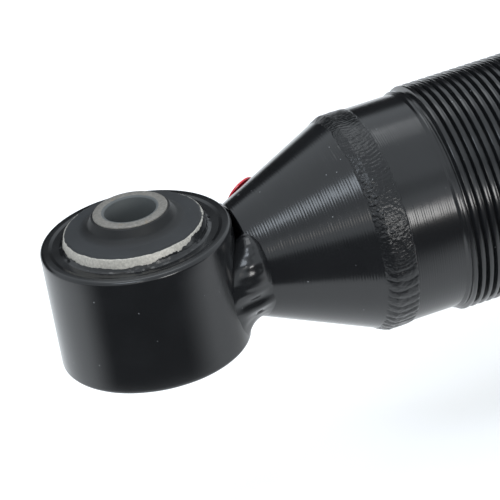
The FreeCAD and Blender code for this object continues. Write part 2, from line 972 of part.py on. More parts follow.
def make_upper_seat():
    """Pressed seat for the spring's top, its rubber ring, and the bump stop with its cup."""
    ring_start = spring_end + D["pad_thickness"]
    ring_end = ring_start + D["upper_seat_wall"]
    outer = D["upper_seat_od"] / 2
    register = D["perch_register_od"] / 2
    wall = D["upper_seat_wall"]
    hub = D["seat_hub_od"] / 2
    hub_start, hub_end = D["seat_hub_start"], D["seat_hub_end"]
    foot = ring_start - D["seat_register_length"]
    node(
        turned(
            "upper_spring_seat",
            [
                (hub_start, end_hole),
                (hub_end, end_hole),
                (hub_end, hub),
                (ring_end + 1, register),
                (ring_end, register + 2),
                (ring_end, outer - 1),
                (ring_end - 1, outer),
                (ring_start + 1, outer),
                (ring_start, outer - 1),
                (ring_start, register),
                (foot + 1, register),
                (foot, register - 1),
                (foot, register - wall),
                (ring_start + 2, register - wall),
                (hub_start, hub + 3),
            ],
        ),
        "upper_spring_seat",
    )
    node(
        ring("upper_spring_pad", spring_end, ring_start, outer - 1, register + 0.2),
        "upper_spring_pad",
    )
    cup_start = hub_start - D["bump_cup_thickness"]
    cup_radius = D["bump_cup_od"] / 2
    node(ring("bump_cup", cup_start, hub_start, cup_radius, rod_radius), "bump_cup")
    start = D["bump_start"]
    big, waist = D["bump_od"] / 2, D["bump_waist"] / 2
    third = (cup_start - start) / 3
    node(
        turned(
            "bump_stop",
            [
                (start, rod_radius),
                (cup_start, rod_radius),
                (cup_start, big),
                (start + third * 2.2, big),
                (start + third * 2, waist),
                (start + third * 1.8, big * 0.97),
                (start + third * 1.15, big * 0.95),
                (start + third, waist * 0.95),
                (start + third * 0.85, big * 0.85),
                (start + 2, big * 0.72),
                (start, big * 0.62),
            ],
        ),
        "bump_stop",
    )


def sphere_shell(name, outer_radius, inner_radius, width):
    """A ring between two spheres about the ball's centre, cut to a width along the shock."""
    outer = doc.addObject("Part::Sphere", f"{name}_outer")
    bind(outer, {"Radius": outer_radius, "Placement.Base.x": D["ball_centre"]})
    inner = doc.addObject("Part::Sphere", f"{name}_inner")
    bind(inner, {"Radius": inner_radius, "Placement.Base.x": D["ball_centre"]})
    slab = cylinder(f"{name}_slab", outer_radius * 2, width, D["ball_centre"] - width / 2)
    return common(name, cut(f"{name}_shell", outer, inner), slab)


def make_ball_joint():
    """Bored ball on the rod end, its liner, and the race pressed into the plate."""
    centre, half = D["ball_centre"], D["ball_width"] / 2
    ball = doc.addObject("Part::Sphere", "ball_blank")
    bind(ball, {"Radius": D["ball_od"] / 2, "Placement.Base.x": centre})
    core = ring("ball_core", centre - half, centre + half, D["ball_od"] / 2 + 1, end_hole)
    node(common("joint_ball", ball, core), "joint_ball")
    play = D["joint_clearance"]
    liner_inner = D["ball_od"] / 2 + play
    liner_outer = liner_inner + D["liner_wall"]
    node(sphere_shell("joint_liner", liner_outer, liner_inner, D["race_width"]), "joint_liner")
    race_start = centre - D["race_width"] / 2
    blank = cylinder("race_blank", D["race_od"] / 2, D["race_width"], race_start)
    hollow = doc.addObject("Part::Sphere", "race_hollow")
    bind(hollow, {"Radius": liner_outer + play, "Placement.Base.x": centre})
    node(cut("joint_race", blank, hollow), "joint_race")


def make_rod_end_parts():
    """Spacers each side of the ball, the washer and the nut on the rod's end."""
    lower_start = D["seat_hub_end"]
    ball_start = D["ball_centre"] - D["ball_width"] / 2
    ball_end = D["ball_centre"] + D["ball_width"] / 2
    spacer = D["spacer_od"] / 2
    upper_end = ball_end + D["upper_spacer_length"]
    washer_end = upper_end + D["top_washer_length"]
    node(ring("lower_spacer", lower_start, ball_start, spacer, end_hole), "lower_spacer")
    node(ring("upper_spacer", ball_end, upper_end, spacer, end_hole), "upper_spacer")
    node(ring("top_washer", upper_end, washer_end, D["top_washer_od"] / 2, end_hole), "top_washer")
    nut = hexagon_nut("top_nut", washer_end, D["top_nut_length"], D["top_nut_flats"], end_radius)
    node(nut, "top_nut")


def make_top_plate():
    """Three-cornered plate with a hub for the race, a snap ring, and three pressed-in studs."""
    start, thick = D["plate_start"], D["plate_thickness"]
    triangle = doc.addObject("Part::RegularPolygon", "plate_triangle")
    triangle.Polygon = int(D["stud_count"].value)
    bind(triangle, {"Circumradius": D["stud_pcd"] / 2})
    rounded = doc.addObject("Part::Offset2D", "plate_outline")
    rounded.Source = triangle
    bind(rounded, {"Value": D["lobe_radius"]})
    slab = doc.addObject("Part::Extrusion", "plate_slab")
    slab.Base = rounded
    slab.DirMode = "Normal"
    slab.Solid = True
    bind(slab, {"LengthFwd": thick})
    place_along_shock(slab, start)
    doc.recompute()
    corner_edges = [
        (i, 1.0, 1.0)
        for i, edge in enumerate(slab.Shape.Edges, start=1)
        if abs(edge.BoundBox.XLength) < 1e-6
    ]
    eased = doc.addObject("Part::Fillet", "plate_eased")
    eased.Base = slab
    eased.Edges = corner_edges
    hub_end = start + thick + D["hub_height"]
    hub = turned(
        "plate_hub",
        [
            (start, 0),
            (hub_end, 0),
            (hub_end, D["hub_od"] / 2 - 1),
            (hub_end - 1, D["hub_od"] / 2),
            (start, D["hub_od"] / 2),
        ],
    )
    whole = doc.addObject("Part::Fuse", "plate_whole")
    whole.Base = eased
    whole.Tool = hub
    race_start = D["ball_centre"] - D["race_width"] / 2
    race_end = race_start + D["race_width"]
    race = D["race_od"] / 2
    snap = D["snap_ring_thickness"]
    bore = turned(
        "plate_bore",
        [
            (start - 1, 0),
            (hub_end + 1, 0),
            (hub_end + 1, race),
            (race_end + snap, race),
            (race_end + snap, race + 1),
            (race_end, race + 1),
            (race_end, race),
            (race_start, race),
            (race_start, race - 1),
            (start - 1, race - 1),
        ],
    )
    holes, studs = [], []
    for i in range(int(D["stud_count"].value)):
        hole = cylinder("stud_hole", D["stud_shank_od"] / 2, thick * 3, start - thick)
        stud = make_stud()
        for piece, group in ((hole, holes), (stud, studs)):
            piece.Placement.Base = piece.Placement.Base - Z_AXIS * (D["stud_pcd"].value / 2)
            group.append(around_shock(piece, DEGREES_PER_TURN * i / D["stud_count"].value))
    drilled = cut("plate_drilled", cut("plate_bored", whole, bore), gather("stud_holes", holes))
    node(drilled, "top_mount_plate")
    node(gather("mount_studs", studs), "mount_studs")
    retainer = ring("race_ring_blank", race_end, race_end + snap, race + 0.9, race - D["snap_ring_width"])
    mouth = doc.addObject("Part::Box", "race_ring_mouth")
    bind(mouth, {"Length": snap * 3, "Width": D["race_od"], "Height": 5})
    bind(mouth, {"Placement.Base.x": race_end - snap, "Placement.Base.z": -2.5})
    node(cut("race_snap_ring", retainer, mouth), "race_snap_ring")


def make_stud():
    """One stud on the shock's axis: a head under the plate, a wider shank pressed into it, then the thread."""
    start = D["plate_start"]
    plate_end = start + D["plate_thickness"]
    tip = plate_end + D["stud_reach"]
    head_start = start - D["stud_head_length"]
    radius = D["stud_od"] / 2
    shank = D["stud_shank_od"] / 2
    head = D["stud_head_od"] / 2
    return turned(
        "mount_stud",
        [
            (head_start, 0),
            (tip, 0),
            (tip, radius - 1),
            (tip - 1, radius),
            (plate_end, radius),
            (plate_end, shank),
            (start, shank),
            (start, head),
            (head_start + 0.6, head),
            (head_start, head - 0.6),
        ],
    )


make_lower_eye()
make_bush()
make_cone()
make_port_parts()
make_nose_weld()
make_cone_weld()
make_damper_tube()
make_head()
make_piston()
make_shims("rebound_shims", piston_bottom, -1)
make_shims("compression_shims", piston_top, 1)
make_rod()
make_floating_piston()
make_lock_ring()
make_spring_perch()
make_spring()
make_upper_seat()
make_ball_joint()
make_rod_end_parts()
make_top_plate()
doc.recompute()

failed = [o.Label for o in doc.Objects if {"Invalid", "Error"} & set(o.State)]
if failed:
    raise RuntimeError(f"these objects did not compute: {failed}")
for piece in NODES:
    if piece.Shape.isNull() or not piece.Shape.isValid() or not piece.Shape.Solids:
        raise RuntimeError(f"{piece.Label} has no valid solid")

os.makedirs("parts", exist_ok=True)
for piece in NODES:
    piece.Shape.exportStep(f"parts/{piece.Label}.step")
    volume = sum(solid.Volume for solid in piece.Shape.Solids)
    print(f"{piece.Label}: {len(piece.Shape.Solids)} solid(s), {volume:.1f} mm3")
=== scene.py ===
"""Looks of a coil-over rear shock: paint, rubber, welds, thread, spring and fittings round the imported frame.

Everything is in metres in the frame's own axes: +X runs along the shock from the lower eye's centre to the
top mount, and +Z runs along the eye's bore. Angles round the shock start at the top (+Z) and turn towards -Y.
"""

import logging
import math
from dataclasses import dataclass
from enum import Enum
from typing import Callable, Optional, Sequence, Union

import bmesh
import bpy
import numpy as np
from mathutils import Matrix, Vector, noise

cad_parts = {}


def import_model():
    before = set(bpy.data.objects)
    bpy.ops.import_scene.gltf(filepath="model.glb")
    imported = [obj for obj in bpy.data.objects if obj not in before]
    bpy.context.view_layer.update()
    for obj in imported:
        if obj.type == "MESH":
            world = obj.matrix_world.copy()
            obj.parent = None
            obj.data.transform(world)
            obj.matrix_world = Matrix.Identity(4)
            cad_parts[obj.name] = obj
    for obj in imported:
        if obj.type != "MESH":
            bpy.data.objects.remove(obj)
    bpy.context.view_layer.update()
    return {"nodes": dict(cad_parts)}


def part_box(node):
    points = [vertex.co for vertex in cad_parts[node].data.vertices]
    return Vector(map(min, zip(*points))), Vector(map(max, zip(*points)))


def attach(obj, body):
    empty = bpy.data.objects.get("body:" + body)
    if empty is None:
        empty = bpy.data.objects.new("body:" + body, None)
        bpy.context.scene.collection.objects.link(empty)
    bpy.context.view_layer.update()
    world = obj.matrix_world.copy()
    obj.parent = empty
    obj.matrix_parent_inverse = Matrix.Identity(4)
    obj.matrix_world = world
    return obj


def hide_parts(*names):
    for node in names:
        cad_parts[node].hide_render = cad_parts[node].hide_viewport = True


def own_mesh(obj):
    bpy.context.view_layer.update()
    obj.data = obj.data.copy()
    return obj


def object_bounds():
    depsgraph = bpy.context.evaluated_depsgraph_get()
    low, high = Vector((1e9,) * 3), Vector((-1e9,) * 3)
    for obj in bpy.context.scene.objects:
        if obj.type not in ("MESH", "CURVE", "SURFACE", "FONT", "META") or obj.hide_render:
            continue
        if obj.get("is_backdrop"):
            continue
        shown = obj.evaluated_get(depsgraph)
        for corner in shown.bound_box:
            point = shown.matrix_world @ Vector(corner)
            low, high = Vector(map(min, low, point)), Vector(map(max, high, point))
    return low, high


log = logging.getLogger("rear_shock")

MM = 0.001
TURN = 2 * math.pi
SHARP_EDGE = math.radians(32)
TUBE_RADIUS = 26.2 * MM
TUBE_BORE = 23 * MM
Colour = tuple[float, float, float]
Point = tuple[float, float]


class Axis(Enum):
    """The two axes that the shock's round pieces are turned about."""

    SHOCK = "x"
    EYE = "z"


# ------------------------------------------------------------------ node graphs


class Value:
    """A number, colour or vector in a node graph: one output socket, with arithmetic that adds Math nodes."""

    def __init__(self, graph: "Graph", socket: bpy.types.NodeSocket) -> None:
        """Wraps a socket of a graph."""
        self.graph = graph
        self.socket = socket

    def math(self, operation: str, *others: "Operand") -> "Value":
        """Feeds this value, then the others, to a Math node.

        Args:
            operation: the Math node's operation, such as "SINE".
            others: the node's further inputs, in order.
        Returns:
            The node's result.
        """
        sockets = dict(enumerate((self, *others)))
        return self.graph.node("ShaderNodeMath", {"operation": operation}, sockets)

    def __add__(self, other: "Operand") -> "Value":
        """Sum."""
        return self.math("ADD", other)

    def __mul__(self, other: "Operand") -> "Value":
        """Product."""
        return self.math("MULTIPLY", other)

    def __sub__(self, other: "Operand") -> "Value":
        """Difference."""
        return self.math("SUBTRACT", other)

    def __rsub__(self, other: float) -> "Value":
        """A number less this value."""
        return self.graph.number(other).math("SUBTRACT", self)

    def __truediv__(self, other: "Operand") -> "Value":
        """Quotient."""
        return self.math("DIVIDE", other)

    def __rtruediv__(self, other: float) -> "Value":
        """A number over this value."""
        return self.graph.number(other).math("DIVIDE", self)

    def __neg__(self) -> "Value":
        """The value with its sign turned."""
        return self * -1.0

    __radd__ = __add__
    __rmul__ = __mul__

    def clamped(self) -> "Value":
        """The value held between 0 and 1."""
        return self.math("MAXIMUM", 0.0).math("MINIMUM", 1.0)

    def between(self, low: float, high: float) -> "Value":
        """Rises smoothly from 0 at low to 1 at high, or falls where low is the larger.

        Args:
            low: where the result is 0.
            high: where the result is 1.
        Returns:
            A mask from 0 to 1.
        """
        ordered = (min(low, high), max(low, high))
        ends = (0.0, 1.0) if low < high else (1.0, 0.0)
        sockets = {0: self, 1: ordered[0], 2: ordered[1], 3: ends[0], 4: ends[1]}
        settings = {"interpolation_type": "SMOOTHSTEP"}
        return self.graph.node("ShaderNodeMapRange", settings, sockets)


Operand = Union[Value, float]


class Graph:
    """A node tree with one way to add any node."""

    def __init__(self, tree: bpy.types.NodeTree) -> None:
        """Empties the tree and takes it over."""
        self.tree = tree
        tree.nodes.clear()

    def node(self, kind: str, settings: Optional[dict] = None, sockets: Optional[dict] = None,
             output: Union[int, str] = 0) -> Value:
        """Adds a node.

        Args:
            kind: the node's type name.
            settings: its properties, set first.
            sockets: what its inputs take, by name or number: values, links, or a list of links.
            output: which output to give back.
        Returns:
            That output.
        """
        made = self.tree.nodes.new(kind)
        for name, value in (settings or {}).items():
            setattr(made, name, value)
        for key, value in (sockets or {}).items():
            for each in value if isinstance(value, list) else [value]:
                if isinstance(each, Value):
                    self.tree.links.new(each.socket, made.inputs[key])
                else:
                    made.inputs[key].default_value = each
        return Value(self, made.outputs[output])

    def number(self, value: float) -> Value:
        """A constant as a value, for the left side of a sum."""
        made = self.node("ShaderNodeValue")
        made.socket.default_value = value
        return made


class Surface(Graph):
    """One material's shader graph."""

    def __init__(self, name: str) -> None:
        """Makes an empty material of that name."""
        self.material = bpy.data.materials.new(name)
        self.material.use_nodes = True
        super().__init__(self.material.node_tree)
        self.place = self.node("ShaderNodeTexCoord", output="Object")
        self._parts: Optional[bpy.types.Node] = None

    def coordinate(self, letter: str) -> Value:
        """The place's X, Y or Z in millimetres."""
        if self._parts is None:
            self._parts = self.node("ShaderNodeSeparateXYZ", sockets={0: self.place}).socket.node
        return Value(self, self._parts.outputs[letter.upper()]) * (1 / MM)

    def from_eye_axis(self) -> Value:
        """The place's distance from the eye's axis in millimetres."""
        x, y = self.coordinate("x"), self.coordinate("y")
        return (x * x + y * y).math("SQRT")

    def grain(self, size_mm: float, detail: float = 2.0, stretch: Colour = (1, 1, 1)) -> Value:
        """Noise from 0 to 1.

        Args:
            size_mm: the size of one blotch, in millimetres.
            detail: how many finer layers it has.
            stretch: how many times longer the blotches are along X, Y and Z.
        Returns:
            The noise.
        """
        scale = tuple(1 / (size_mm * MM * s) for s in stretch)
        place = self.node("ShaderNodeMapping", sockets={"Vector": self.place, "Scale": scale})
        sockets = {"Vector": place, "Scale": 1.0, "Detail": detail, "Roughness": 0.55}
        return self.node("ShaderNodeTexNoise", sockets=sockets)

    def specks(self, spacing_mm: float, size: float) -> Value:
        """Scattered dots as a mask.

        Args:
            spacing_mm: how far apart their cells are.
            size: a dot's radius as a share of its cell.
        Returns:
            1 on a dot and 0 elsewhere.
        """
        sockets = {"Vector": self.place, "Scale": 1 / (spacing_mm * MM)}
        distance = self.node("ShaderNodeTexVoronoi", sockets=sockets, output="Distance")
        return distance.between(size, size * 0.5)

    def mix(self, mask: Operand, first: Union[Value, Colour], second: Union[Value, Colour]) -> Value:
        """Blends two colours: the first where the mask is 0, the second where it is 1."""
        colours = [c if isinstance(c, Value) else (*c, 1.0) for c in (first, second)]
        sockets = {0: mask, 6: colours[0], 7: colours[1]}
        return self.node("ShaderNodeMix", {"data_type": "RGBA"}, sockets, output=2)

    def bump(self, height_mm: Value) -> Value:
        """A normal from a height in millimetres."""
        return self.node("ShaderNodeBump", sockets={"Height": height_mm, "Distance": MM, "Strength": 1.0})

    def finish(self, **sockets: Union[Value, float, tuple]) -> bpy.types.Material:
        """Ends the graph in a Principled BSDF.

        Args:
            sockets: its inputs, with underscores for the spaces in their names.
        Returns:
            The material.
        """
        named = {key.replace("_", " "): value for key, value in sockets.items()}
        shader = self.node("ShaderNodeBsdfPrincipled", sockets=named)
        return self.shown(shader)

    def shown(self, shader: Value) -> bpy.types.Material:
        """Ends the graph in that shader."""
        out = self.tree.nodes.new("ShaderNodeOutputMaterial")
        self.tree.links.new(shader.socket, out.inputs["Surface"])
        return self.material


class Recipe(Graph):
    """A Geometry Nodes tree with named inputs."""

    def __init__(self, name: str, sizes: dict[str, float]) -> None:
        """Makes the tree and its inputs.

        Args:
            name: the tree's name.
            sizes: each input's name and value.
        """
        super().__init__(bpy.data.node_groups.new(name, "GeometryNodeTree"))
        face = self.tree.interface
        face.new_socket("Geometry", in_out="INPUT", socket_type="NodeSocketGeometry")
        face.new_socket("Geometry", in_out="OUTPUT", socket_type="NodeSocketGeometry")
        self.sizes = sizes
        self.keys = {}
        for label in sizes:
            made = face.new_socket(label, in_out="INPUT", socket_type="NodeSocketFloat")
            self.keys[label] = made.identifier
        self.inputs = self.tree.nodes.new("NodeGroupInput")

    def size(self, label: str) -> Value:
        """A named input."""
        return Value(self, self.inputs.outputs[label])

    def solid(self) -> Value:
        """The mesh that the tree works on."""
        return Value(self, self.inputs.outputs["Geometry"])

    def run(self, name: str, geometry: Value, material: bpy.types.Material,
            start: Optional[bpy.types.Object] = None) -> bpy.types.Object:
        """Ends the tree and turns its result into a plain mesh.

        Args:
            name: the finished object's name.
            geometry: what the tree makes.
            material: the finish of what it makes.
            start: the object whose mesh it starts from, used up here.
        Returns:
            The finished object, with no modifier.
        """
        real = self.node("GeometryNodeRealizeInstances", sockets={"Geometry": geometry})
        dressed = self.node("GeometryNodeSetMaterial", sockets={"Geometry": real, "Material": material})
        out = self.tree.nodes.new("NodeGroupOutput")
        self.tree.links.new(dressed.socket, out.inputs["Geometry"])
        if start is None:
            start = new_object(name, bpy.data.meshes.new(name))
        maker = start.modifiers.new("recipe", "NODES")
        maker.node_group = self.tree
        for label, key in self.keys.items():
            maker[key] = float(self.sizes[label])
        bpy.context.view_layer.update()
        evaluated = start.evaluated_get(bpy.context.evaluated_depsgraph_get())
        mesh = bpy.data.meshes.new_from_object(evaluated)
        bpy.data.objects.remove(start)
        made = new_object(name, mesh)
        tidy(made)
        return made


# ------------------------------------------------------------------ finishes


@dataclass(frozen=True)
class StovePaint:
    """Black stove paint over turned steel: the lathe's rings and the paint's own flow show in its gloss."""

    name: str = "stove_paint"
    colour: Colour = (0.0072, 0.0076, 0.0084)
    roughness: float = 0.24
    ring_pitch_mm: float = 0.0
    ring_height_mm: float = 0.0
    flow_height_mm: float = 0.0012
    texture_height_mm: float = 0.0
    refraction: float = 1.5
    dust_colour: Colour = (0.25, 0.26, 0.27)
    dust_height_mm: float = 0.03
    ring_wander: float = 2.6
    second_ring: Point = (0.73, 0.55)

    def material(self) -> bpy.types.Material:
        """Builds the material."""
        s = Surface(self.name)
        flow = s.grain(1.6, 1.0) * self.flow_height_mm + s.grain(6.0, 0.0) * self.flow_height_mm * 6
        height = flow
        if self.ring_pitch_mm:
            closer, share = self.second_ring
            phase = s.coordinate("x") * (TURN / self.ring_pitch_mm)
            wander = s.grain(9.0, 1.0) * self.ring_wander
            depth = s.grain(2.2, 3.0).between(0.2, 0.62) * self.ring_height_mm
            uneven = (phase * closer - wander).math("SINE") * share
            height = height + ((phase + wander).math("SINE") + uneven) * depth
        if self.texture_height_mm:
            height = height + s.grain(0.45, 3.0) * self.texture_height_mm
        dust = s.specks(3.2, 0.055) * s.grain(7.0, 1.0).between(0.44, 0.5)
        height = height + dust * self.dust_height_mm
        wear = s.grain(14.0, 3.0)
        worn = s.mix(wear.between(0.3, 0.7), self.colour, brighter(self.colour, 1.25))
        colour = s.mix(dust * 0.7, worn, self.dust_colour)
        rough = wear * 0.06 + (self.roughness - 0.03) + dust * 0.3
        return s.finish(Base_Color=colour, Roughness=rough, Normal=s.bump(height), IOR=self.refraction)


@dataclass(frozen=True)
class MouldedRubber:
    """Matte moulded rubber with a fine grain, a faint bloom and a little dust, and, if asked, painted shade on
    the steep neck near the eye's axis.
    """

    name: str = "moulded_rubber"
    colour: Colour = (0.017, 0.0185, 0.0205)
    roughness: float = 0.6
    # Painted shade: the radius from the eye's axis within which the neck's colour is darkened, and how far the
    # darkening fades.
    neck_shade_within_mm: Optional[float] = None
    neck_shade_fade_mm: float = 2.2
    dust_colour: Colour = (0.3, 0.31, 0.32)

    def material(self) -> bpy.types.Material:
        """Builds the material."""
        s = Surface(self.name)
        bloom = s.grain(7.0, 3.0)
        dust = s.specks(2.6, 0.05) * s.grain(6.0, 1.0).between(0.5, 0.58)
        colour = s.mix(bloom.between(0.3, 0.75), self.colour, brighter(self.colour, 1.35))
        # Painted shade: near the eye's axis, on the steep neck up the sleeve, the colour darkens towards a
        # third of itself; the same mask, gloss, also makes the rubber a little glossier.
        gloss = s.number(0.0)
        if self.neck_shade_within_mm is not None:
            gloss = s.from_eye_axis().between(self.neck_shade_within_mm, self.neck_shade_within_mm - self.neck_shade_fade_mm)
            colour = s.mix(gloss, colour, brighter(self.colour, 0.3))
        colour = s.mix(dust * 0.6, colour, self.dust_colour)
        height = s.grain(0.35, 3.0) * 0.02 + s.grain(2.4, 1.0) * 0.03 + dust * 0.03
        rough = bloom * 0.14 + (self.roughness - 0.07) - gloss * 0.1
        return s.finish(Base_Color=colour, Roughness=rough, Normal=s.bump(height), IOR=1.4)


@dataclass(frozen=True)
class BareSteel:
    """Bare, dull steel end faces with overspray: black paint climbs them raggedly from below."""

    name: str = "bare_steel"
    colour: Colour = (0.42, 0.39, 0.345)
    paint_line_mm: Optional[float] = None
    dark_bore_mm: Optional[float] = None
    stain_colour: Colour = (0.21, 0.15, 0.09)
    paint_colour: Colour = (0.01, 0.0105, 0.0115)
    bore_colour: Colour = (0.085, 0.092, 0.093)
    metallic: float = 0.35
    line_softness_mm: float = 0.08

    def material(self) -> bpy.types.Material:
        """Builds the material."""
        s = Surface(self.name)
        blotch = s.grain(0.5, 4.0)
        cloud = s.grain(5.0, 2.0)
        colour = s.mix(blotch.between(0.25, 0.8), brighter(self.colour, 0.72), brighter(self.colour, 1.2))
        stain = s.grain(3.0, 3.0).between(0.58, 0.75)
        colour = s.mix(stain * 0.45, colour, self.stain_colour)
        rough = blotch * 0.16 + 0.42
        metal: Operand = s.number(self.metallic)
        height = s.grain(0.28, 3.0) * 0.02 + cloud * 0.02
        if self.paint_line_mm is not None:
            x, z = s.coordinate("x"), s.coordinate("z")
            ragged = s.grain(0.7, 3.0) * 0.9 + s.grain(4.5, 1.0) * 0.9
            step = s.grain(5.5, 0.0).between(0.5, 0.52) * 0.4 + x.between(6.0, 6.7) * 0.6
            climb = (x + 4.0).math("MAXIMUM", 0.0) * 0.05 + step
            line = z.math("ABSOLUTE") - ragged + 1.1 - climb
            soft = self.line_softness_mm
            painted = line.between(self.paint_line_mm + soft, self.paint_line_mm - soft)
            colour = s.mix(painted, colour, self.paint_colour)
            rough = rough * (1.0 - painted) + painted * 0.16
            metal = metal * (1.0 - painted)
            height = height + painted * 0.1
        if self.dark_bore_mm is not None:
            edge = self.dark_bore_mm
            radius = s.from_eye_axis() + s.grain(1.5, 2.0) * 0.3
            inside = radius.between(edge + 0.3, edge + 0.05)
            colour = s.mix(inside, colour, self.bore_colour)
            metal = metal * (1.0 - inside)
            rough = rough * (1.0 - inside) + inside * 0.6
        return s.finish(Base_Color=colour, Roughness=rough, Metallic=metal, Normal=s.bump(height))


@dataclass(frozen=True)
class Metal:
    """A machined or plated metal, with tool marks along or round it."""

    name: str
    colour: Colour
    roughness: float
    mark_pitch_mm: float = 0.25
    mark_height_mm: float = 0.0008
    marks_along: Axis = Axis.SHOCK
    tint: Optional[Colour] = None

    def material(self) -> bpy.types.Material:
        """Builds the material."""
        s = Surface(self.name)
        cloud = s.grain(6.0, 3.0)
        fine = s.grain(0.4, 3.0)
        phase = s.coordinate(self.marks_along.value) * (TURN / self.mark_pitch_mm) + cloud * 3.0
        height = phase.math("SINE") * self.mark_height_mm + fine * self.mark_height_mm * 2.5
        shade = s.mix(cloud.between(0.25, 0.75), brighter(self.colour, 0.88), self.tint or self.colour)
        rough = fine * 0.08 + cloud * 0.08 + (self.roughness - 0.08)
        return s.finish(Base_Color=shade, Roughness=rough, Metallic=1.0, Normal=s.bump(height))


@dataclass(frozen=True)
class Anodised:
    """Black anodised aluminium: satin, slightly brown, with its turning marks and paler rubbed patches."""

    name: str = "black_anodised"
    colour: Colour = (0.022, 0.022, 0.024)
    roughness: float = 0.34
    mark_pitch_mm: float = 0.22

    def material(self) -> bpy.types.Material:
        """Builds the material."""
        s = Surface(self.name)
        rubbed = s.grain(7.0, 4.0).between(0.52, 0.8)
        phase = s.coordinate("x") * (TURN / self.mark_pitch_mm) + s.grain(4.0, 2.0) * 2.0
        height = phase.math("SINE") * 0.0009 + s.grain(0.3, 2.0) * 0.002
        colour = s.mix(rubbed, self.colour, brighter(self.colour, 2.2))
        rough = s.grain(1.2, 3.0) * 0.12 + (self.roughness - 0.06)
        return s.finish(Base_Color=colour, Roughness=rough, Metallic=0.4, Normal=s.bump(height))


@dataclass(frozen=True)
class PowderCoat:
    """Gloss powder coat with its orange peel, and a paler dusting where it has been handled."""

    name: str
    colour: Colour
    roughness: float = 0.2
    peel_mm: float = 0.012

    def material(self) -> bpy.types.Material:
        """Builds the material."""
        s = Surface(self.name)
        peel = s.grain(1.1, 1.0) * self.peel_mm + s.grain(0.4, 1.0) * self.peel_mm * 0.25
        cloud = s.grain(11.0, 3.0)
        dust = s.specks(2.9, 0.04) * cloud.between(0.5, 0.55)
        colour = s.mix(cloud.between(0.3, 0.7), brighter(self.colour, 0.85), brighter(self.colour, 1.12))
        colour = s.mix(dust * 0.4, colour, (0.7, 0.68, 0.66))
        rough = cloud * 0.08 + (self.roughness - 0.04) + dust * 0.2
        return s.finish(Base_Color=colour, Roughness=rough, Normal=s.bump(peel + dust * 0.02),
                        Coat_Weight=0.5, Coat_Roughness=0.08)


@dataclass(frozen=True)
class Foam:
    """Cellular polyurethane: closed skin, open pores, and painted shade that darkens the pits."""

    name: str = "cellular_foam"
    colour: Colour = (0.62, 0.47, 0.2)

    def material(self) -> bpy.types.Material:
        """Builds the material."""
        s = Surface(self.name)
        pores = s.specks(0.7, 0.34)
        cloud = s.grain(4.0, 4.0)
        colour = s.mix(cloud, brighter(self.colour, 0.8), brighter(self.colour, 1.15))
        # Painted shade: the colour is pulled towards a darker copy of itself in the pits.
        colour = s.mix(pores * 0.6, colour, brighter(self.colour, 0.4))
        height = s.grain(0.5, 3.0) * 0.05 - pores * 0.06
        return s.finish(Base_Color=colour, Roughness=cloud * 0.1 + 0.72, Normal=s.bump(height))


def brighter(colour: Colour, factor: float) -> Colour:
    """A colour times a number."""
    return tuple(min(1.0, channel * factor) for channel in colour)


class Palette:
    """Every finish on the shock, made once."""

    def __init__(self) -> None:
        """Builds the materials."""
        self.turned_paint = StovePaint("cone_paint", roughness=0.17, ring_pitch_mm=0.6,
                                       ring_height_mm=0.008).material()
        self.eye_paint = StovePaint("eye_paint", roughness=0.19, flow_height_mm=0.002).material()
        self.tube_paint = StovePaint("tube_paint", roughness=0.18, ring_pitch_mm=0.55,
                                     ring_height_mm=0.006).material()
        self.weld_paint = StovePaint("bead_paint", roughness=0.2, texture_height_mm=0.1,
                                     refraction=1.43).material()
        self.pooled_paint = StovePaint("pooled_paint", roughness=0.17, flow_height_mm=0.003).material()
        self.rubber = MouldedRubber(neck_shade_within_mm=13.0).material()
        self.seal = MouldedRubber("seal_rubber", (0.012, 0.012, 0.013), 0.5).material()
        self.shell = BareSteel("shell_steel", colour=(0.43, 0.41, 0.37), paint_line_mm=15.5).material()
        self.sleeve = BareSteel("sleeve_steel", colour=(0.205, 0.195, 0.178), dark_bore_mm=6.7).material()
        self.race_steel = Metal("race_steel", (0.6, 0.6, 0.61), 0.25).material()
        self.chrome = Metal("hard_chrome", (0.78, 0.79, 0.81), 0.1, 0.12, 0.0003).material()
        self.zinc = Metal("zinc_plate", (0.62, 0.63, 0.62), 0.3, tint=(0.66, 0.64, 0.55)).material()
        self.aluminium = Metal("machined_aluminium", (0.72, 0.72, 0.73), 0.32, 0.3, 0.002).material()
        self.oxide = Metal("black_oxide", (0.045, 0.045, 0.05), 0.38).material()
        self.spring_steel = Metal("spring_steel", (0.26, 0.27, 0.3), 0.3, tint=(0.3, 0.27, 0.24)).material()
        self.bronze = Metal("slide_bronze", (0.5, 0.33, 0.16), 0.35).material()
        self.ptfe = MouldedRubber("ptfe_band", (0.09, 0.07, 0.05), 0.45).material()
        self.anodised = Anodised().material()
        self.red_plastic = PowderCoat("red_plastic", (0.66, 0.014, 0.03), 0.22, 0.003).material()
        self.red_coat = PowderCoat("red_powder_coat", (0.42, 0.012, 0.012)).material()
        self.foam = Foam().material()


# ------------------------------------------------------------------ meshes


def new_object(name: str, mesh: bpy.types.Mesh) -> bpy.types.Object:
    """Links a new object of that mesh to the scene."""
    made = bpy.data.objects.new(name, mesh)
    bpy.context.scene.collection.objects.link(made)
    return made


def tidy(thing: bpy.types.Object, sharp: float = SHARP_EDGE) -> None:
    """Merges doubles, points the faces outwards, and shades smooth between sharp edges.

    Args:
        thing: the object whose mesh is changed.
        sharp: the angle past which an edge stays sharp.
    """
    shape = bmesh.new()
    shape.from_mesh(thing.data)
    bmesh.ops.remove_doubles(shape, verts=shape.verts, dist=1e-7)
    bmesh.ops.dissolve_degenerate(shape, edges=shape.edges, dist=1e-7)
    bmesh.ops.recalc_face_normals(shape, faces=shape.faces)
    shape.to_mesh(thing.data)
    shape.free()
    for face in thing.data.polygons:
        face.use_smooth = True
    thing.data.set_sharp_from_angle(angle=sharp)


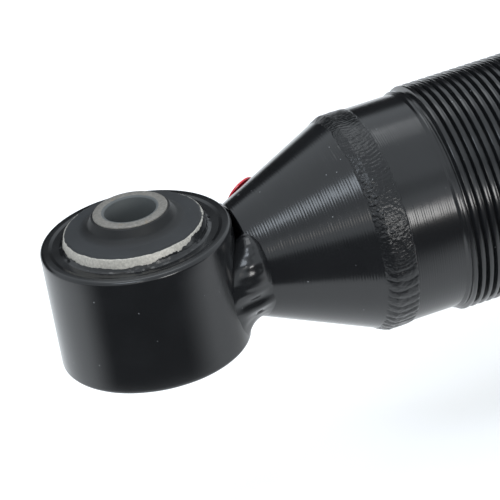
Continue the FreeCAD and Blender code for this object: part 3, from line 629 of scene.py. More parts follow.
def grid_object(name: str, grid: np.ndarray, sharp: float = SHARP_EDGE,
                last_meets_first: bool = True) -> bpy.types.Object:
    """Makes a mesh from a grid of points whose rows are closed loops.

    Args:
        name: the object's name.
        grid: rows by columns by 3 coordinates.
        sharp: the angle past which an edge stays sharp.
        last_meets_first: whether the last row joins the first one too.
    Returns:
        The object.
    """
    rows, columns = grid.shape[:2]
    index = np.arange(rows * columns).reshape(rows, columns)
    following = np.roll(index, -1, axis=0)
    if not last_meets_first:
        index, following = index[:-1], following[:-1]
    faces = np.stack([index, np.roll(index, -1, 1), np.roll(following, -1, 1), following], -1)
    mesh = bpy.data.meshes.new(name)
    mesh.from_pydata(grid.reshape(-1, 3).tolist(), [], faces.reshape(-1, 4).tolist())
    made = new_object(name, mesh)
    tidy(made, sharp)
    return made


def rounded(corners: Sequence[tuple], steps: int = 5) -> list[Point]:
    """Rounds the corners of a closed outline with arcs.

    Args:
        corners: (along, radius) or (along, radius, rounding) points.
        steps: how many points an arc has.
    Returns:
        The outline's points.
    """
    outline = []
    count = len(corners)
    for i, corner in enumerate(corners):
        here = Vector(corner[:2])
        if len(corner) < 3:
            outline.append(tuple(here))
            continue
        before = (Vector(corners[i - 1][:2]) - here).normalized()
        after = (Vector(corners[(i + 1) % count][:2]) - here).normalized()
        half = before.angle(after) / 2
        reach = corner[2] / math.tan(half)
        centre = here + (before + after).normalized() * (corner[2] / math.sin(half))
        first, last = here + before * reach - centre, here + after * reach - centre
        for k in range(steps + 1):
            outline.append(tuple(centre + first.slerp(last, k / steps) * corner[2]))
    return outline


def two_ended(side: Callable[[int], list[tuple]], steps: int) -> list[Point]:
    """A rounded closed outline whose ends mirror each other.

    Args:
        side: gives one end's corners, for a sign of -1 or 1.
        steps: how many points an arc has.
    Returns:
        The outline's points.
    """
    return rounded(side(-1) + side(1)[::-1], steps)


def resampled(outline: Sequence[Point], step: float) -> list[Point]:
    """Adds points to a closed outline so that no stretch is longer than a step."""
    dense = []
    count = len(outline)
    for i, point in enumerate(outline):
        a, b = Vector(point), Vector(outline[(i + 1) % count])
        pieces = max(1, math.ceil((b - a).length / step))
        dense += [tuple(a.lerp(b, k / pieces)) for k in range(pieces)]
    return dense


def lathe(name: str, outline: Sequence[Point], axis: Axis = Axis.SHOCK, segments: int = 160,
          shape: Optional[Callable[[np.ndarray, np.ndarray, np.ndarray], tuple]] = None,
          sharp: float = SHARP_EDGE) -> bpy.types.Object:
    """Turns a closed outline about an axis.

    Args:
        name: the object's name.
        outline: (along, radius) points in metres.
        axis: the axis that it turns about.
        segments: how many steps a turn has.
        shape: takes the grids of angle, along and radius, and gives along and radius, to press the form.
        sharp: the angle past which an edge stays sharp.
    Returns:
        The object.
    """
    points = np.array(outline, float)
    angle, along = np.meshgrid(np.arange(segments) * (TURN / segments), points[:, 0])
    radius = np.broadcast_to(points[:, 1][:, None], along.shape)
    if shape is not None:
        along, radius = shape(angle, along, radius)
    side, up = -radius * np.sin(angle), radius * np.cos(angle)
    if axis is Axis.SHOCK:
        grid = np.stack([along, side, up], -1)
    else:
        grid = np.stack([up, -side, along], -1)
    return grid_object(name, grid, sharp)


def ripple(point: Sequence[float], size: float, seed: float = 0.0) -> float:
    """Smooth noise from -1 to 1 at a place, in the same units as size."""
    x, y, z = (c / size for c in point)
    return noise.noise(Vector((x + seed, y - seed, z + seed * 0.5)))


def round_noise(angle: np.ndarray, along: np.ndarray, radius: float, size: float, seed: float) -> np.ndarray:
    """Noise over a round surface, with no seam.

    Args:
        angle: the grid of angles.
        along: the grid of places along the axis.
        radius: the surface's radius.
        size: the size of one blotch.
        seed: which noise.
    Returns:
        A grid of values from -1 to 1.
    """
    flat = zip(along.ravel(), angle.ravel())
    values = [ripple((x, radius * math.sin(a), radius * math.cos(a)), size, seed) for x, a in flat]
    return np.array(values).reshape(angle.shape)


@dataclass(frozen=True)
class Span:
    """A round CAD node's place: its ends along the shock and its outside radius."""

    start: float
    end: float
    radius: float

    @property
    def length(self) -> float:
        """End less start."""
        return self.end - self.start


def span(node: str) -> Span:
    """Reads a node's span from the frame."""
    low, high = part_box(node)
    return Span(low.x, high.x, max(high.y, high.z, -low.y, -low.z))


@dataclass
class SubAssembly:
    """A group of pieces that are built and dressed together."""

    palette: Palette
    nodes: dict[str, bpy.types.Object]

    def add(self, thing: bpy.types.Object, body: str, finish: bpy.types.Material, slot: str,
            *stands_for: str) -> bpy.types.Object:
        """Dresses a new piece and joins it to the frame.

        Args:
            thing: the piece.
            body: the body that it rides on.
            finish: its material.
            slot: the record's material slot; not used.
            stands_for: the CAD nodes that it replaces.
        Returns:
            The piece.
        """
        thing.data.materials.clear()
        thing.data.materials.append(finish)
        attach(thing, body)
        if stands_for:
            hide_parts(*stands_for)
        log.info("%s: %d faces on %s", thing.name, len(thing.data.polygons), body)
        return thing

    def dress(self, finish: bpy.types.Material, *names: str) -> None:
        """Gives CAD nodes a finish.

        Args:
            finish: the material.
            names: the nodes.
        """
        for name in names:
            node = self.nodes[name]
            node.data.materials.clear()
            node.data.materials.append(finish)
            log.info("%s keeps its CAD shape in %s", name, finish.name)


@dataclass(frozen=True)
class Thread:
    """A right-handed outside thread along the shock's axis, in metres."""

    root: float
    depth: float
    pitch: float
    start: float
    end: float

    def cut_on(self, core: bpy.types.Object, material: bpy.types.Material) -> bpy.types.Object:
        """Winds the thread's ridge onto a core.

        Args:
            core: the object that carries the thread, used up here.
            material: the finish of the result.
        Returns:
            Core and ridge as one plain mesh.
        """
        steps_in_turn, across = 60, 12
        base_share, steepness, sunk = 0.96, 1.6, 0.06 * MM
        recipe = Recipe(f"{core.name}_thread", {
            "Root radius": self.root, "Depth": self.depth, "Pitch": self.pitch, "Start": self.start,
            "Turns": (self.end - self.start) / self.pitch,
        })
        turns, pitch = recipe.size("Turns"), recipe.size("Pitch")
        columns = (turns * steps_in_turn).math("ROUND")
        strip = recipe.node("GeometryNodeMeshGrid", sockets={
            "Size X": 1.0, "Size Y": 1.0, "Vertices X": columns, "Vertices Y": across,
        })
        flat = recipe.node("GeometryNodeInputPosition")
        split = recipe.node("ShaderNodeSeparateXYZ", sockets={0: flat}).socket.node
        run = (Value(recipe, split.outputs["X"]) + 0.5) * turns
        over = Value(recipe, split.outputs["Y"])
        flank = ((0.5 - over.math("ABSOLUTE")) * (2 * steepness)).between(0.0, 1.0)
        faded = (run * 3.0).clamped() * ((turns - run) * 3.0).clamped()
        radius = recipe.size("Root radius") - sunk + (recipe.size("Depth") + sunk) * flank * faded
        angle = run * TURN
        place = recipe.node("ShaderNodeCombineXYZ", sockets={
            "X": recipe.size("Start") + (run + over * base_share) * pitch,
            "Y": -(angle.math("SINE") * radius),
            "Z": angle.math("COSINE") * radius,
        })
        ridge = recipe.node("GeometryNodeSetPosition", sockets={"Geometry": strip, "Position": place})
        both = recipe.node("GeometryNodeJoinGeometry", sockets={"Geometry": [recipe.solid(), ridge]})
        return recipe.run(core.name, both, material, core)


# ------------------------------------------------------------------ lower end


@dataclass
class LowerEye(SubAssembly):
    """The welded eye with its pressed-in rubber bush."""

    edge_round: float = 1.0 * MM
    rim_dip: float = 0.15 * MM
    pool_height: float = 0.7 * MM
    paint_climb: float = 0.45 * MM
    shell_wall: float = 1.2 * MM
    shell_nose: float = 0.6 * MM
    shell_swage: float = 2.2 * MM
    paint_gap: float = 0.02 * MM
    paint_width: float = 0.9 * MM
    rubber_shoulder: float = 3.4 * MM
    bore_radius: float = 6.1 * MM
    bore_chamfer: float = 0.3 * MM

    def build(self) -> None:
        """Builds eye, shell, rubber and sleeve."""
        self.make_eye()
        self.make_shell()
        self.make_rubber()
        self.make_sleeve()

    def make_eye(self) -> None:
        """The ring: rounded outer edges, and paint pooled round the shell where it stands proud."""
        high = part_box("lower_eye")[1]
        half, outer = high.z, high.x
        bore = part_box("bush_outer_shell")[1].x + self.paint_gap
        climb_from = bore + self.paint_width

        def side(sign: int) -> list[tuple]:
            """One end's corners, from the bore out."""
            return [
                (sign * (half + self.pool_height), bore),
                (sign * (half + self.pool_height * 0.15), bore + 0.3 * MM, 0.2 * MM),
                (sign * (half - self.rim_dip), climb_from, 0.3 * MM),
                (sign * (half - self.rim_dip), outer - 2.9 * MM, 0.4 * MM),
                (sign * half, outer - 2.1 * MM, 0.4 * MM),
                (sign * half, outer, self.edge_round),
            ]

        outline = resampled(two_ended(side, 8), 3 * MM)

        def pooled(angle: np.ndarray, along: np.ndarray, radius: np.ndarray) -> tuple:
            """Lets the pooled paint climb the shell unevenly, and wave a little on the rim."""
            near = np.clip((climb_from - radius) / (climb_from - bore), 0, 1)
            top = np.clip((np.abs(along) - half + 1.5 * MM) / (1 * MM), 0, 1)
            rough = round_noise(angle, along * 0, 17.0, 3.2, 4.0)
            rough = rough + 0.5 * round_noise(angle, along * 0, 17.0, 0.9, 9.0)
            wave = round_noise(angle, along * 0, 20.0, 6.0, 2.0)
            lift = near * rough * self.paint_climb + (1 - near) * wave * 0.03 * MM
            return along + np.sign(along) * lift * top, radius

        eye = lathe("lower_eye_ring", outline, Axis.EYE, 256, pooled, sharp=math.radians(50))
        self.add(eye, "damper_body", self.palette.eye_paint, "black_paint", "lower_eye")

    def make_shell(self) -> None:
        """The bush's steel shell, its ends swaged in a little."""
        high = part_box("bush_outer_shell")[1]
        half, outer = high.z, high.x
        inner = outer - self.shell_wall

        def side(sign: int) -> list[tuple]:
            """One end's corners, from inside out."""
            return [
                (sign * (half - self.shell_swage), inner),
                (sign * half, inner - self.shell_nose),
                (sign * half, outer - self.shell_nose, 0.25 * MM),
                (sign * (half - self.shell_swage), outer, 1.5 * MM),
            ]

        outline = two_ended(side, 4)
        shell = lathe("bush_shell", outline, Axis.EYE, 256)
        self.add(shell, "damper_body", self.palette.shell, "bare_steel", "bush_outer_shell")

    def make_rubber(self) -> None:
        """The rubber: a ragged skin over the shell's end, a shallow slope and a steep neck up the sleeve."""
        shell_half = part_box("bush_outer_shell")[1].z
        shell_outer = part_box("bush_outer_shell")[1].x
        rubber_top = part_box("bush_rubber")[1].z
        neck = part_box("bush_inner_sleeve")[1].x + 0.05 * MM
        inner = shell_outer - self.shell_wall
        lip = shell_outer - self.shell_nose - 0.25 * MM

        def side(sign: int) -> list[tuple]:
            """One end's corners, from the neck out."""
            return [
                (sign * rubber_top, neck),
                (sign * (rubber_top - 0.1 * MM), neck + 0.45 * MM, 0.25 * MM),
                (sign * (rubber_top - self.rubber_shoulder * 0.62), neck + 1.55 * MM, 1.2 * MM),
                (sign * (shell_half + 0.75 * MM), neck + 3.6 * MM, 2.5 * MM),
                (sign * (shell_half + 0.42 * MM), lip - 0.4 * MM, 0.3 * MM),
                (sign * (shell_half + 0.02 * MM), lip),
                (sign * shell_half, inner - self.shell_nose),
                (sign * (shell_half - self.shell_swage), inner),
            ]

        outline = resampled(two_ended(side, 8), 2 * MM)

        def torn(angle: np.ndarray, along: np.ndarray, radius: np.ndarray) -> tuple:
            """Makes the moulding's outer edge ragged."""
            edge = np.clip((radius - lip + 1.2 * MM) / (1 * MM), 0, 1) * (np.abs(along) >= shell_half)
            rough = round_noise(angle, along * 0, 16.4, 1.1, 7.0)
            rough = rough + 0.8 * round_noise(angle, along * 0, 16.4, 4.0, 3.0)
            return along, radius + edge * rough * 0.22 * MM

        rubber = lathe("bush_rubber_moulding", outline, Axis.EYE, 256, torn, sharp=math.radians(60))
        self.add(rubber, "damper_body", self.palette.rubber, "bush_rubber", "bush_rubber")

    def make_sleeve(self) -> None:
        """The thick inner sleeve with its chamfered bore."""
        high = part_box("bush_inner_sleeve")[1]
        half, outer = high.z, high.x

        def side(sign: int) -> list[tuple]:
            """One end's corners, from inside out."""
            return [
                (sign * (half - self.bore_chamfer), self.bore_radius, 0.15 * MM),
                (sign * half, self.bore_radius + self.bore_chamfer, 0.12 * MM),
                (sign * half, outer, 0.25 * MM),
            ]

        outline = resampled(two_ended(side, 3), 4 * MM)
        sleeve = lathe("bush_sleeve_tube", outline, Axis.EYE, 192)
        self.add(sleeve, "bush_sleeve", self.palette.sleeve, "bare_steel", "bush_inner_sleeve")


@dataclass
class ConeEnd(SubAssembly):
    """The cone that closes the tube, its two welds, and the charging port's cap."""

    nose_radius: float = 13.5 * MM
    bead_start: float = 50 * MM
    cavity_nose: float = 8.5 * MM
    spigot_bore: float = 19 * MM
    spigot_radius: float = TUBE_BORE
    port_station: float = 31 * MM
    tube_radius: float = TUBE_RADIUS
    cavity_start: float = 10.7 * MM
    fine_pitch_mm: float = 1.05
    fine_height_mm: float = 0.085
    broad_pitch_mm: float = 2.7
    broad_height_mm: float = 0.2
    broad_middle: float = 150.0
    broad_half: float = 60.0
    grit_middle: float = 48.0
    grit_spread: float = 26.0
    lump_turn: float = 8.0
    fillet_steps: int = 150
    pit_turn: float = 121.0
    pit_depth_mm: float = 0.6

    def build(self) -> None:
        """Builds cone, welds and cap."""
        cone = span("lower_cone")
        self.start = cone.start
        self.joint = span("damper_tube").start
        self.slope = (self.tube_radius - self.nose_radius) / (self.joint - self.start)
        self.make_cone(cone)
        self.make_bead()
        for sign in (1, -1):
            self.make_nose_weld(sign)
        self.make_cap()
        self.dress(self.palette.oxide, "charge_port_screw")

    def radius_at(self, station: float) -> float:
        """The cone's outside radius at a station."""
        return self.nose_radius + self.slope * (station - self.start)

    def make_cone(self, cone: Span) -> None:
        """The hollow cone with a softened nose edge."""
        outline = rounded([
            (self.start, 0.0),
            (self.start, self.nose_radius, 0.45 * MM),
            (self.joint, self.tube_radius),
            (self.joint, self.spigot_radius),
            (cone.end, self.spigot_radius),
            (cone.end, self.spigot_bore),
            (self.bead_start, self.spigot_bore),
            (self.start + self.cavity_start, self.cavity_nose),
            (self.start + self.cavity_start, 0.0),
        ], 6)
        made = lathe("closing_cone", resampled(outline, 4 * MM), segments=224)
        self.add(made, "damper_body", self.palette.turned_paint, "black_paint", "lower_cone")

    def make_bead(self) -> None:
        """The round weld over the joint: a low crown with crossing ripples, spatter and a stop lump."""
        bead = span("cone_weld")
        start, end = bead.start, bead.end
        crown_height = bead.radius - self.tube_radius
        across, round_mm = 30, self.tube_radius / MM
        outer = [(start + (end - start) * k / across, 0.0) for k in range(across + 1)]
        inner = [(end, self.tube_radius - 0.4 * MM), (start, self.radius_at(start) - 0.4 * MM)]

        def pressed(angle: np.ndarray, along: np.ndarray, radius: np.ndarray) -> tuple:
            """Raises the crown and its ripples on the outer rows."""
            outer_row = np.arange(along.shape[0])[:, None] < len(outer)
            share = np.clip((along - start) / (end - start), 0, 1)
            from_middle = np.abs(2 * share - 1)
            turn = np.degrees(angle) % 360
            wander = round_noise(angle, along * 0, round_mm, 2.2, 5.0)
            moved = along + np.sign(0.5 - share) * np.abs(wander) * 0.8 * MM * from_middle**6
            heavy = np.clip((self.broad_half - np.abs(turn - self.broad_middle)) / 6, 0, 1)
            slow = round_noise(angle, along / MM, round_mm, 2.8, 8.0)
            patchy = np.clip(0.6 + 0.7 * round_noise(angle, along / MM, round_mm, 3.5, 21.0), 0.5, 1)
            bow = 2.2 * (share - 0.55) ** 2 / 0.3
            fine = crest(TURN * (round_mm * angle + bow) / self.fine_pitch_mm + 2.2 * slow)
            fine = fine * self.fine_height_mm * patchy * (1 - heavy)
            broad = crest(TURN * (round_mm * angle + bow * 0.8) / self.broad_pitch_mm + 1.5 * slow)
            broad = broad * self.broad_height_mm * heavy
            inside = np.clip((1 - from_middle) * 5, 0, 1)
            gritty = np.exp(-(((turn - self.grit_middle) / self.grit_spread) ** 2))
            gritty = gritty * np.clip(1.3 - 1.7 * share, 0.15, 1)
            grit = np.maximum(round_noise(angle, along / MM, round_mm, 0.6, 12.0) - 0.08, 0) * gritty * 0.6
            rough = round_noise(angle, along / MM, round_mm, 0.8, 31.0) * 0.08
            lump = np.exp(-(((turn - self.lump_turn) / 5) ** 2) - ((share - 0.7) / 0.2) ** 2) * 0.3
            seam = np.exp(-(((share - 0.95) / 0.022) ** 2)) * 0.1
            rise = (fine + broad + rough) * inside + grit + lump + seam
            crown = (1 - from_middle ** np.where(share < 0.5, 2, 6)) * crown_height * (0.28 + 0.15 * slow)
            under = np.minimum(self.radius_at(moved), self.tube_radius)
            raised = under + crown + rise * MM
            raised = np.where((share <= 0) | (share >= 1), under - 0.05 * MM, raised)
            limit = bead.radius
            return np.where(outer_row, moved, along), np.where(outer_row, np.minimum(raised, limit), radius)

        made = lathe("cone_weld_bead", outer + inner, segments=1440, shape=pressed, sharp=math.radians(75))
        self.add(made, "damper_body", self.palette.weld_paint, "black_paint", "cone_weld")

    def make_nose_weld(self, sign: int) -> None:
        """One side's weld between eye and nose: a long lobe, a short one, then a hollow fillet.

        Args:
            sign: 1 for the -Y side, -1 for the +Y side.
        """
        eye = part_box("lower_eye")[1]
        # turn from the top in degrees; foot's station on the cone, foot's radius on the eye, and bulge, in mm
        known = np.array([
            (37, 23.9, 11.4, 0.2), (44, 25.0, 12.8, 1.2), (53, 25.9, 13.8, 1.8),
            (68, 26.3, 15.0, 1.9), (84, 26.3, 15.6, 1.6), (95, 26.2, 16.0, 0.8),
            (103, 26.2, 16.2, -0.4), (110, 26.7, 16.6, 0.4), (118, 26.6, 17.0, -0.6),
            (128, 26.2, 18.0, -1.4), (142, 26.0, 18.8, -1.7), (156, 25.6, 17.8, -1.5),
            (170, 24.6, 15.4, -0.9),
        ])
        turns = np.linspace(known[0, 0], known[-1, 0], self.fillet_steps)
        feet, eye_feet, bulges = (np.interp(turns, known[:, 0], known[:, k]) for k in (1, 2, 3))
        soft = np.hanning(11) / np.hanning(11).sum()
        feet, eye_feet, bulges = (np.convolve(np.pad(c, 5, mode="edge"), soft, "valid")
                                  for c in (feet, eye_feet, bulges))
        across = 20
        rows = []
        for turn, foot, eye_foot, bulge in zip(turns, feet * MM, eye_feet * MM, bulges):
            a = math.radians(turn)
            out = Vector((0, -math.sin(a) * sign, math.cos(a)))
            eye_foot = min(eye_foot, (eye.z - 1 * MM) / max(0.05, abs(math.cos(a))))
            width = eye_foot * math.sin(a)
            on_eye = out * eye_foot + Vector((math.sqrt(eye.x**2 - width**2) - 0.12 * MM, 0, 0))
            on_cone = out * (self.radius_at(foot) - 0.1 * MM) + Vector((foot, 0, 0))
            lift = out * bulge * 1.9 * MM + Vector((bulge * 0.35 * MM, 0, 0))
            middle = (on_eye + on_cone) / 2 + lift
            row = []
            for k in range(across + 1):
                t = k / across
                point = on_eye * (1 - t) ** 2 + middle * 2 * t * (1 - t) + on_cone * t**2
                soft_wave = ripple(point / MM, 3.4, 3.0) * 0.16
                chevron = math.sin(turn * 0.75 + 7 * (t - 0.6) ** 2) * 0.035 * max(0.0, min(1.0, bulge))
                pit = math.exp(-(((turn - self.pit_turn) / 2.2) ** 2) - ((t - 0.6) / 0.06) ** 2)
                waves = (soft_wave + chevron) * math.sin(math.pi * t)
                row.append(point + out * (waves - self.pit_depth_mm * pit) * MM)
            inner = out * (min(eye_foot, self.radius_at(foot)) - 3.2 * MM)
            row.append(inner + Vector((on_cone.x - 2.4 * MM, 0, 0)))
            row.append(inner + Vector((on_eye.x - 0.6 * MM, 0, 0)))
            rows.append(row)
        tips = [[sum(row, Vector()) / len(row)] * len(row) for row in (rows[0], rows[-1])]
        grid = np.array([[tuple(p) for p in row] for row in [tips[0], *rows, tips[1]]])
        name, stands_for = ("nose_weld_near", ["nose_weld"]) if sign > 0 else ("nose_weld_far", [])
        made = grid_object(name, grid, sharp=math.radians(60), last_meets_first=False)
        self.add(made, "damper_body", self.palette.pooled_paint, "black_paint", *stands_for)

    def make_cap(self) -> None:
        """The domed cap over the charging port, on the cone's far side."""
        low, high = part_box("charge_port_cap")
        middle = (low + high) / 2
        cap_radius, stem, crown = 4.3 * MM, 2.4 * MM, 1.35 * MM
        outline = rounded([
            (-2.3 * MM, 0.0),
            (-2.3 * MM, stem),
            (0.0, stem),
            (0.2 * MM, cap_radius, 0.1 * MM),
            (0.7 * MM, cap_radius, 0.3 * MM),
            (crown * 0.86, cap_radius * 0.66, 3.0 * MM),
            (crown, 0.6 * MM, 0.4 * MM),
            (crown, 0.0),
        ], 6)
        made = lathe("charge_cap", outline, segments=96)
        out = Vector((0, middle.y, middle.z)).normalized()
        tilt = math.atan(self.slope)
        normal = out * math.cos(tilt) - Vector((1, 0, 0)) * math.sin(tilt)
        place = Vector((self.port_station, 0, 0)) + out * self.radius_at(self.port_station)
        turn = Vector((1, 0, 0)).rotation_difference(normal).to_matrix().to_4x4()
        made.data.transform(Matrix.Translation(place) @ turn)
        self.add(made, "damper_body", self.palette.red_plastic, "red_plastic", "charge_port_cap")


def crest(phase: np.ndarray) -> np.ndarray:
    """A wave with sharp valleys and round crests, from 0 to 1."""
    return np.abs(np.sin(phase / 2)) ** 0.8


@dataclass
class DamperTube(SubAssembly):
    """The pressure tube with its long body thread, and the head that closes it."""

    plain_radius: float = TUBE_RADIUS
    bore: float = TUBE_BORE
    thread_start: float = 70 * MM
    thread_end: float = 236 * MM
    thread_pitch: float = 2 * MM
    thread_depth: float = 1.3 * MM
    step: float = 0.55 * MM

    def build(self) -> None:
        """Builds the tube and dresses what it holds."""
        tube = span("damper_tube")
        root = tube.radius - self.thread_depth
        stepped = self.plain_radius + self.step
        outline = [
            (tube.start, self.bore),
            (tube.start, self.plain_radius),
            (self.thread_start, self.plain_radius),
            (self.thread_start + 0.5 * MM, stepped),
            (self.thread_start + 1.1 * MM, stepped),
            (self.thread_start + 1.5 * MM, root),
            (self.thread_end, root),
            (self.thread_end + 0.6 * MM, self.plain_radius),
            (tube.end - 0.5 * MM, self.plain_radius),
            (tube.end, self.plain_radius - 0.5 * MM),
            (tube.end, self.bore),
        ]
        core = lathe("threaded_tube", resampled(outline, 12 * MM), segments=288, sharp=math.radians(20))
        thread = Thread(root, self.thread_depth, self.thread_pitch, self.thread_start + 1.2 * MM,
                        self.thread_end - 0.4 * MM)
        made = thread.cut_on(core, self.palette.tube_paint)
        self.add(made, "damper_body", self.palette.tube_paint, "black_paint", "damper_tube")
        self.dress(self.palette.aluminium, "rod_guide", "floating_piston")
        self.dress(self.palette.bronze, "guide_bush")
        self.dress(self.palette.seal, "rod_seal", "guide_o_ring", "rod_wiper", "floating_o_ring")
        self.dress(self.palette.spring_steel, "head_snap_ring")
        self.dress(self.palette.anodised, "tube_cap")


@dataclass
class SpringSet(SubAssembly):
    """The screw-on spring perch, the coil spring and its two pads."""

    turns: float = 7.0
    wire: float = 11 * MM
    mean_radius: float = 38 * MM
    squashed_share: float = 0.5275

    def build(self) -> None:
        """Builds the spring and dresses what it stands on."""
        self.make_spring()
        self.dress(self.palette.anodised, "spring_perch", "lock_ring", "upper_spring_seat")
        self.dress(self.palette.oxide, "lock_screw")
        self.dress(self.palette.seal, "lower_spring_pad", "upper_spring_pad")

    def make_spring(self) -> None:
        """The coil, with closed and ground ends."""
        place = span("coil_spring")
        open_pitch = (place.length + self.wire / 2 - 2 * self.wire) / (self.turns - 2)
        recipe = Recipe("coil", {
            "Turns": self.turns, "Wire": self.wire, "Mean radius": self.mean_radius,
            "Start": place.start, "End": place.end, "Open pitch": open_pitch,
        })
        turns, wire, mean = recipe.size("Turns"), recipe.size("Wire"), recipe.size("Mean radius")
        start, end = recipe.size("Start"), recipe.size("End")
        line = recipe.node("GeometryNodeCurvePrimitiveLine")
        count = (turns * 96.0).math("ROUND")
        path = recipe.node("GeometryNodeResampleCurve", sockets={"Curve": line, "Count": count})
        run = recipe.node("GeometryNodeSplineParameter", output="Factor") * turns
        opened = (run - 1.0).math("SMOOTH_MAX", 0.0, 0.4).math("SMOOTH_MIN", turns - 2.0, 0.4)
        along = start - wire * 0.25 + run * wire + opened * (recipe.size("Open pitch") - wire)
        angle = run * TURN
        point = recipe.node("ShaderNodeCombineXYZ", sockets={
            "X": along, "Y": -(angle.math("SINE") * mean), "Z": angle.math("COSINE") * mean,
        })
        helix = recipe.node("GeometryNodeSetPosition", sockets={"Geometry": path, "Position": point})
        section = recipe.node("GeometryNodeCurvePrimitiveCircle",
                              sockets={"Resolution": 28, "Radius": wire / 2.0})
        coil = recipe.node("GeometryNodeCurveToMesh",
                           sockets={"Curve": helix, "Profile Curve": section, "Fill Caps": True})
        here = recipe.node("GeometryNodeInputPosition")
        split = recipe.node("ShaderNodeSeparateXYZ", sockets={0: here}).socket.node
        x, y, z = (Value(recipe, split.outputs[letter]) for letter in "XYZ")
        held = recipe.node("ShaderNodeCombineXYZ",
                           sockets={"X": x.math("MAXIMUM", start).math("MINIMUM", end), "Y": y, "Z": z})
        ground = recipe.node("GeometryNodeSetPosition", sockets={"Geometry": coil, "Position": held})
        made = recipe.run("coil", ground, self.palette.red_coat)
        self.add(made, "spring_base", self.palette.red_coat, "red_powder_coat", "coil_spring")
        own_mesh(made)


@dataclass
class RodSet(SubAssembly):
    """The polished rod, stepped and threaded at its top, with piston, bump stop and top fittings."""

    rod_radius: float = 7 * MM
    lower_stud: float = 5 * MM
    upper_stud: float = 6 * MM
    thread_depth: float = 0.75 * MM
    thread_pitch: float = 1.5 * MM
    socket_depth: float = 6 * MM
    socket_radius: float = 2.5 * MM

    def build(self) -> None:
        """Builds the rod and dresses what it carries."""
        rod = span("piston_rod")
        lower_shoulder = span("top_out_plate").end
        upper_shoulder = span("upper_spring_seat").end - 5 * MM
        thread_start = span("top_nut").start - 2 * MM
        edge = 1 * MM
        root = self.upper_stud - self.thread_depth
        outline = [
            (rod.start, 0.0),
            (rod.start, self.lower_stud - edge),
            (rod.start + edge, self.lower_stud),
            (lower_shoulder, self.lower_stud),
            (lower_shoulder, self.rod_radius),
            (upper_shoulder, self.rod_radius, 0.4 * MM),
            (upper_shoulder, self.upper_stud),
            (thread_start, self.upper_stud),
            (thread_start + 0.5 * MM, root),
            (rod.end - 0.6 * MM, root),
            (rod.end, root - 0.8 * MM),
            (rod.end, self.socket_radius),
            (rod.end - self.socket_depth, self.socket_radius),
            (rod.end - self.socket_depth, 0.0),
        ]
        core = lathe("polished_rod", resampled(rounded(outline, 3), 10 * MM), segments=96)
        thread = Thread(root, self.thread_depth, self.thread_pitch, thread_start + 0.7 * MM,
                        rod.end - 1.2 * MM)
        made = thread.cut_on(core, self.palette.chrome)
        self.add(made, "rod", self.palette.chrome, "hard_chrome", "piston_rod")
        self.dress(self.palette.aluminium, "piston")
        self.dress(self.palette.ptfe, "piston_band", "joint_liner")
        self.dress(self.palette.spring_steel, "rebound_shims", "compression_shims", "top_out_plate")
        self.dress(self.palette.seal, "top_out_bumper")
        self.dress(self.palette.zinc, "piston_nut", "bump_cup", "lower_spacer", "upper_spacer", "top_washer",
                   "top_nut")
        self.dress(self.palette.foam, "bump_stop")
        self.dress(self.palette.chrome, "joint_ball")


@dataclass
class TopMount(SubAssembly):
    """The plate that bolts to the body, its ball race and its three pressed-in studs."""

    count: int = 3
    circle: float = 46 * MM
    stud_radius: float = 4 * MM
    shank_radius: float = 4.5 * MM
    head_radius: float = 7 * MM
    head_length: float = 3 * MM
    thread_depth: float = 0.7 * MM
    thread_pitch: float = 1.25 * MM

    def build(self) -> None:
        """Builds the studs and dresses the plate."""
        self.make_studs()
        self.dress(self.palette.anodised, "top_mount_plate")
        self.dress(self.palette.race_steel, "joint_race")
        self.dress(self.palette.spring_steel, "race_snap_ring")

    def make_studs(self) -> None:
        """One threaded stud, copied round the circle."""
        stud = span("mount_studs")
        head_end = stud.start + self.head_length
        plate_end = head_end + 8 * MM
        root = self.stud_radius - self.thread_depth
        outline = rounded([
            (stud.start, 0.0),
            (stud.start, self.head_radius, 0.6 * MM),
            (head_end, self.head_radius, 0.2 * MM),
            (head_end, self.shank_radius),
            (plate_end, self.shank_radius),
            (plate_end, self.stud_radius, 0.1 * MM),
            (plate_end + 1.2 * MM, self.stud_radius),
            (plate_end + 1.7 * MM, root),
            (stud.end - 0.7 * MM, root),
            (stud.end, root - 0.7 * MM),
            (stud.end, 0.0),
        ], 3)
        core = lathe("mount_stud_set", resampled(outline, 4 * MM), segments=64)
        thread = Thread(root, self.thread_depth, self.thread_pitch, plate_end + 1.7 * MM, stud.end - 1 * MM)
        first = thread.cut_on(core, self.palette.zinc)
        first.data.transform(Matrix.Translation((0, 0, -self.circle)))
        shape = bmesh.new()
        for i in range(self.count):
            copy = first.data.copy()
            copy.transform(Matrix.Rotation(TURN * i / self.count, 4, "X"))
            shape.from_mesh(copy)
            bpy.data.meshes.remove(copy)
        shape.to_mesh(first.data)
        shape.free()
        self.add(first, "top_mount", self.palette.zinc, "zinc_plate", "mount_studs")


# ------------------------------------------------------------------ studio


